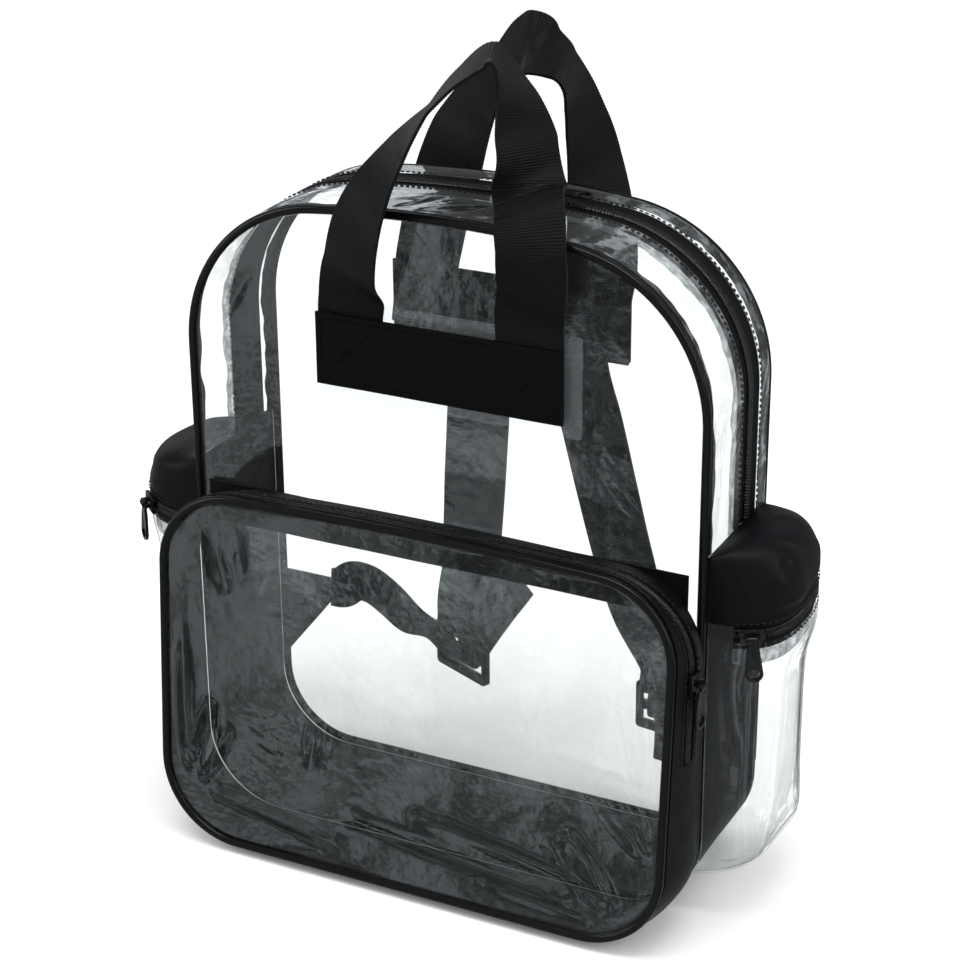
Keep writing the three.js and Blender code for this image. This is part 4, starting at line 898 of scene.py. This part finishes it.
front_handle_rows = [
    (-50, front_y, 277, 0, 0), (-50, front_y, 305, 0, 0), (-49.5, front_y, 317, 0, 0),
    (-48, front_y - 1.2, 325, 1, 0), (-44.6, front_y - 8.5, 341.7, 19, 12),
    (-39.0, front_y - 10.9, 365.3, 25, 10), (-30.0, front_y - 8.3, 388.0, 34, 0),
    (-19.1, front_y + 0.0, 408.4, 45, -9), (-6.4, front_y + 8.8, 426.9, 57, -17),
    (6.8, front_y + 17.9, 443.4, 57, -8), (22.7, front_y + 24.8, 453.8, 59, 5),
    (35.0, front_y + 23.8, 436.7, 79, 17), (43.6, front_y + 17.9, 415.2, 106, 27),
    (47.5, front_y + 13.1, 392.0, 125, 30), (54.2, front_y - 1.3, 382.7, 157, 31),
    (58.4, front_y - 8.3, 364.6, 177, 23), (57.4, front_y - 5.2, 343.9, 183, 10),
    (54, front_y - 0.8, 325, 180, 0), (54, front_y, 317, 180, 0), (54, front_y, 305, 180, 0),
    (54, front_y, 277, 180, 0),
]
rear_handle_rows = [
    (-54, rear_y, 277, 0, 0), (-51, rear_y, 305, 0, 0), (-51, rear_y, 312, 0, 0),
    (-48.8, rear_y + 2.9, 330.1, -3, 1), (-45.6, rear_y + 6.7, 350.3, -4, 2),
    (-41.0, rear_y + 10.9, 370.3, -1, 4), (-34.9, rear_y + 13.8, 390.0, 12, 5),
    (-26.7, rear_y + 19.5, 407.7, 33, 8), (-14.3, rear_y + 21.9, 423.4, 49, 16),
    (-1.4, rear_y + 16.8, 436.9, 53, 26), (12.5, rear_y + 6.6, 440.5, 57, 32),
    (27.3, rear_y + 9.1, 433.9, 66, 25), (33.3, rear_y + 14.5, 417.4, 85, 16),
    (37.4, rear_y + 17.8, 398.4, 101, 7), (40.5, rear_y + 20.8, 378.8, 114, -2),
    (44.8, rear_y + 18.5, 359.6, 128, -5), (48.9, rear_y + 12.6, 341.4, 148, -5),
    (52.3, rear_y + 5.2, 324.3, 168, -2), (53, rear_y, 312, 180, 0), (53, rear_y, 305, 180, 0),
    (53, rear_y, 277, 180, 0),
]
for side, rows in [("front", front_handle_rows), ("rear", rear_handle_rows)]:
    sheet_piece(f"{side}_handle_webbing", ribbon(rows, webbing_width), webbing_thickness, webbing,
                [f"{side}_handle"])

# Patches: a doubled strip of webbing sewn over the handle's ends, the front one on a clear
# backing sheet that shows beyond its right and lower edges.
patch_finish = Finish("black_patch", "black_webbing")
spot, (x, y, z) = patch_finish.place()
grain = (x * yarn).sine() * (z * yarn).sine()
patch_finish.end(patch_finish.node("BsdfPrincipled", values={
    "Base Color": (0.0028, 0.0028, 0.0032, 1), "Roughness": 0.6, "Specular IOR Level": 0.05,
    "Normal": patch_finish.bump(grain, 0.4, 0.15 * mm),
}))
backing = Finish("clear_backing", "clear_pvc")
veil = backing.node("BsdfDiffuse", values={"Color": (0.55, 0.58, 0.6, 1)})
through = backing.node("BsdfTransparent", values={0: (0.955, 0.97, 0.97, 1)})
backing.end(backing.node("MixShader", values={0: 0.05, 1: through, 2: veil}))
box_middle, box_half, seam_inset, box_inset, proud_by = 52 * mm, 15 * mm, 3 * mm, 6 * mm, 0.2 * mm
for name, finish, seed in [
    ("front_patch_backing", backing, 61), ("front_handle_patch", patch_finish, 62),
    ("rear_handle_patch", patch_finish, 63),
]:
    low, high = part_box(name)
    x, z = np.meshgrid(np.linspace(low[0], high[0], 70), np.linspace(low[2], high[2], 24))
    grid = np.stack([x, np.full(x.shape, (low[1] + high[1]) / 2), z], -1)
    grid[..., 1] += waves(grid, 0.12 * mm, 70 * mm, seed)
    sheet_piece(f"{name}_piece", grid, float(high[1] - low[1]), finish, [name])
    if finish is not patch_finish:
        continue
    proud = low[1] - proud_by if name.startswith("front") else high[1] + proud_by
    left, right = low[0] + seam_inset, high[0] - seam_inset
    bottom, top = low[2] + seam_inset, high[2] - seam_inset
    corners = [(left, bottom), (right, bottom), (right, top), (left, top)]
    lines = list(zip(corners, corners[1:] + corners[:1]))
    bottom, top = low[2] + box_inset, high[2] - box_inset
    for edge in (-1, 1):
        centre = (low[0] + high[0]) / 2 + edge * box_middle
        left, right = centre - box_half, centre + box_half
        lines += [((left, bottom), (right, top)), ((left, top), (right, bottom))]
    paths = [np.array([(x0, proud, z0), (x1, proud, z1)]) for (x0, z0), (x1, z1) in lines]
    stitches(f"{name}_stitches", paths, patch_finish, size=0.35 * mm)

# Shoulder straps hang slack behind the rear panel. Each is folded round the top bar of its
# ladder lock, and the narrow lower strap comes from a sewn tab through the lock's slot.
fold_out, lock_bar, lock_height = (4 / 2 + 0.3 + 0.8), 4.6, 30
slot_height = (lock_height - 3 * lock_bar) / 2
left_lock, right_lock = (-42, strap_y + 20, 67, 24), (92, strap_y + 20, 58, 8)


def at_lock(lock, across, behind, above, turn=None, tip=0):
    angle = math.radians(lock[3])
    x = lock[0] + across * math.cos(angle) + behind * math.sin(angle)
    y = lock[1] - across * math.sin(angle) + behind * math.cos(angle)
    return (x, y, lock[2] + above, lock[3] if turn is None else turn, tip)


def strap_fold(lock):
    bar = lock_height / 2 - lock_bar / 2
    below = bar - lock_bar / 2 - 0.3 - 0.8
    return [
        at_lock(lock, 0, -fold_out, bar + 14), at_lock(lock, 0, -fold_out, bar + 4),
        at_lock(lock, 0, -fold_out, below + 0.8), at_lock(lock, 0, -fold_out + 0.8, below),
        at_lock(lock, 0, fold_out - 0.8, below), at_lock(lock, 0, fold_out, below + 0.8),
        at_lock(lock, 0, fold_out, bar + 4), at_lock(lock, 0, fold_out, bar + 14),
    ]


low_slot = -(slot_height + lock_bar) / 2
ahead = -fold_out - 1.6 - 2.2
behind = -ahead
tip_x, tip_y, tip_z = 124, 52, 96
straps = {
    "shoulder_strap_left": ([
        (-18, strap_y, 311, 0, 0), (-18, strap_y, 272, 0, 0), (-22, strap_y + 3, 230, 0, 0),
        (-27, strap_y + 8, 186, 0, 0), (-31, strap_y + 12, 152, 4, 0), (-35, strap_y + 15, 125, 12, 0),
        *strap_fold(left_lock),
    ], webbing_width),
    "shoulder_strap_right": ([
        (37, strap_y, 311, 0, 0), (39, strap_y, 272, 0, 0), (47, strap_y + 3, 238, 0, 0),
        (55, strap_y + 7, 198, 0, 0), (64, strap_y + 12, 154, 2, 0), (74, strap_y + 15, 118, 6, 0),
        *strap_fold(right_lock),
    ], webbing_width),
    "lower_strap_left": ([
        (-tip_x + 0.6, tip_y, tip_z + 2, 0, -90), (-tip_x + 7, tip_y + 1, tip_z + 2, 0, -88),
        (-109, tip_y + 2, 104, 0, -84), (-98, tip_y + 2, 104, 0, -76), (-85, tip_y + 1, 98, 4, -66),
        (-70, tip_y + 1, 87, 14, -48), at_lock(left_lock, -11, ahead - 4.8, 12, tip=-28),
        at_lock(left_lock, -3, ahead, 2, tip=-8), at_lock(left_lock, 0, ahead + 2.5, low_slot + 2.5),
        at_lock(left_lock, 0, 0, low_slot), at_lock(left_lock, 0, behind - 2.5, low_slot + 2.5),
        at_lock(left_lock, 4, behind, 6, tip=10), at_lock(left_lock, 16, behind + 4.8, 28, tip=28),
        at_lock(left_lock, 32, behind + 11.2, 54, tip=32),
    ], narrow_width),
    "lower_strap_right": ([
        (tip_x - 0.6, tip_y, tip_z + 2, 188, -90), (tip_x - 7, tip_y + 1, tip_z + 2, 188, -84),
        at_lock(right_lock, 13, ahead - 3, 28, 188, -56),
        at_lock(right_lock, 3, ahead - 2, 12, 188, -22),
        at_lock(right_lock, 0, ahead + 2.5, low_slot + 2.5, 188),
        at_lock(right_lock, 0, 0, low_slot, 188),
        at_lock(right_lock, 0, fold_out, low_slot - 3, 188),
        at_lock(right_lock, 0, fold_out + 1, low_slot - 16, 188),
        at_lock(right_lock, 0, fold_out, low_slot - 30, 188),
    ], narrow_width),
}
for name, (rows, width) in straps.items():
    sheet_piece(f"{name}_webbing", ribbon(rows, width, rib=0.08 * mm), webbing_thickness, webbing,
                [name])
root_x, root_y, root_low, root_high, tip_half = 151.5, 44.9, 52, 108, 8
for side, sign in [("left", -1), ("right", 1)]:
    u, v = np.meshgrid(np.linspace(0, 1, 24), np.linspace(0, 1, 24))
    x = sign * (root_x + (tip_x - root_x) * u)
    z = (root_high + (root_low - root_high) * v) * (1 - u) + (tip_z + tip_half * (1 - 2 * v)) * u
    y = root_y + (tip_y - root_y) * u + 1.2 * np.sin(math.pi * u) * np.sin(math.pi * v)
    sheet_piece(f"strap_tab_cloth_{side}", np.stack([x, y, z], -1) * mm, nylon_sheet, nylon,
                [f"strap_tab_{side}"])

# Hard parts: moulded ladder locks, and the die-cast zip sliders in black lacquer with
# their pulls, which swing on the slider's bar. Their edges are eased as castings are.
plastic = Finish("black_plastic", "black_plastic")
spot, _ = plastic.place()
plastic.end(plastic.node("BsdfPrincipled", values={
    "Base Color": (0.004, 0.004, 0.0045, 1), "Roughness": 0.3, "Specular IOR Level": 0.2,
    "Normal": plastic.bump(plastic.noise(spot, 0.6 * mm), 0.15, 0.1 * mm),
}))
lacquer = Finish("black_slider", "black_slider")
spot, _ = lacquer.place()
lacquer.end(lacquer.node("BsdfPrincipled", values={
    "Base Color": (0.004, 0.004, 0.005, 1), "Roughness": 0.16, "Specular IOR Level": 0.35,
    "Normal": lacquer.bump(lacquer.noise(spot, 2 * mm), 0.1, 0.1 * mm),
}))
pull_finish = Finish("black_pull", "black_pull")
spot, _ = pull_finish.place()
pull_finish.end(pull_finish.node("BsdfPrincipled", values={
    "Base Color": (0.004, 0.004, 0.005, 1), "Roughness": 0.22, "Specular IOR Level": 0.3,
    "Normal": pull_finish.bump(pull_finish.noise(spot, 1.2 * mm), 0.1, 0.1 * mm),
}))


def eased(node, name, finish, body, width):
    """A copy of a CAD solid with its edges rounded, standing for the solid itself."""
    mesh = frame["nodes"][node].data.copy()
    mesh.name = name
    mesh.materials.clear()
    mesh.materials.append(finish.made)
    piece = bpy.data.objects.new(name, mesh)
    scene.collection.objects.link(piece)
    weld = piece.modifiers.new("weld", "WELD")
    weld.merge_threshold = 0.01 * mm
    bevel = piece.modifiers.new("bevel", "BEVEL")
    bevel.width, bevel.segments, bevel.limit_method = width, 3, "ANGLE"
    bevel.angle_limit = math.radians(38)
    for face in mesh.polygons:
        face.use_smooth = True
    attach(piece, body)
    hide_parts(node)
    return piece


for side in ("left", "right"):
    eased(f"ladder_lock_{side}", f"ladder_lock_{side}_moulding", plastic, "bag", 0.7 * mm)
pull_length, eye_from_end, eye_radius, rim_radius = 24 * mm, 4.75 * mm, 3.9 * mm, 0.95 * mm
for joint in frame["joints"]:
    body = joint["child"]
    stem = {"main_pull": "main_zip", "pocket_pull": "pocket_zip", "side_left_pull": "side_zip_left",
            "side_right_pull": "side_zip_right"}[body]
    eased(f"{stem}_slider", f"{stem}_slider_casting", lacquer, "bag", 0.3 * mm)
    eased(f"{stem}_pull", f"{stem}_pull_tab", pull_finish, body, 0.35 * mm)
    mesh = frame["nodes"][f"{stem}_pull"].data
    points = np.empty(len(mesh.vertices) * 3)
    mesh.vertices.foreach_get("co", points)
    points = points.reshape(-1, 3)
    bar, axis = np.array(joint["pos_m"]), -np.array(joint["axis"])
    hang = points.mean(0) - bar
    hang -= axis * (hang @ axis)
    hang /= np.linalg.norm(hang)
    face = np.cross(axis, hang)
    centre = bar + hang * (pull_length - eye_from_end)
    angle = np.linspace(0, 2 * math.pi, 40, endpoint=False)
    out = np.cos(angle)[:, None] * axis + np.sin(angle)[:, None] * hang
    ring_tube(f"{stem}_pull_rim", centre + out * eye_radius, out, np.broadcast_to(face, out.shape),
              rim_radius, pull_finish, [], 10, body)
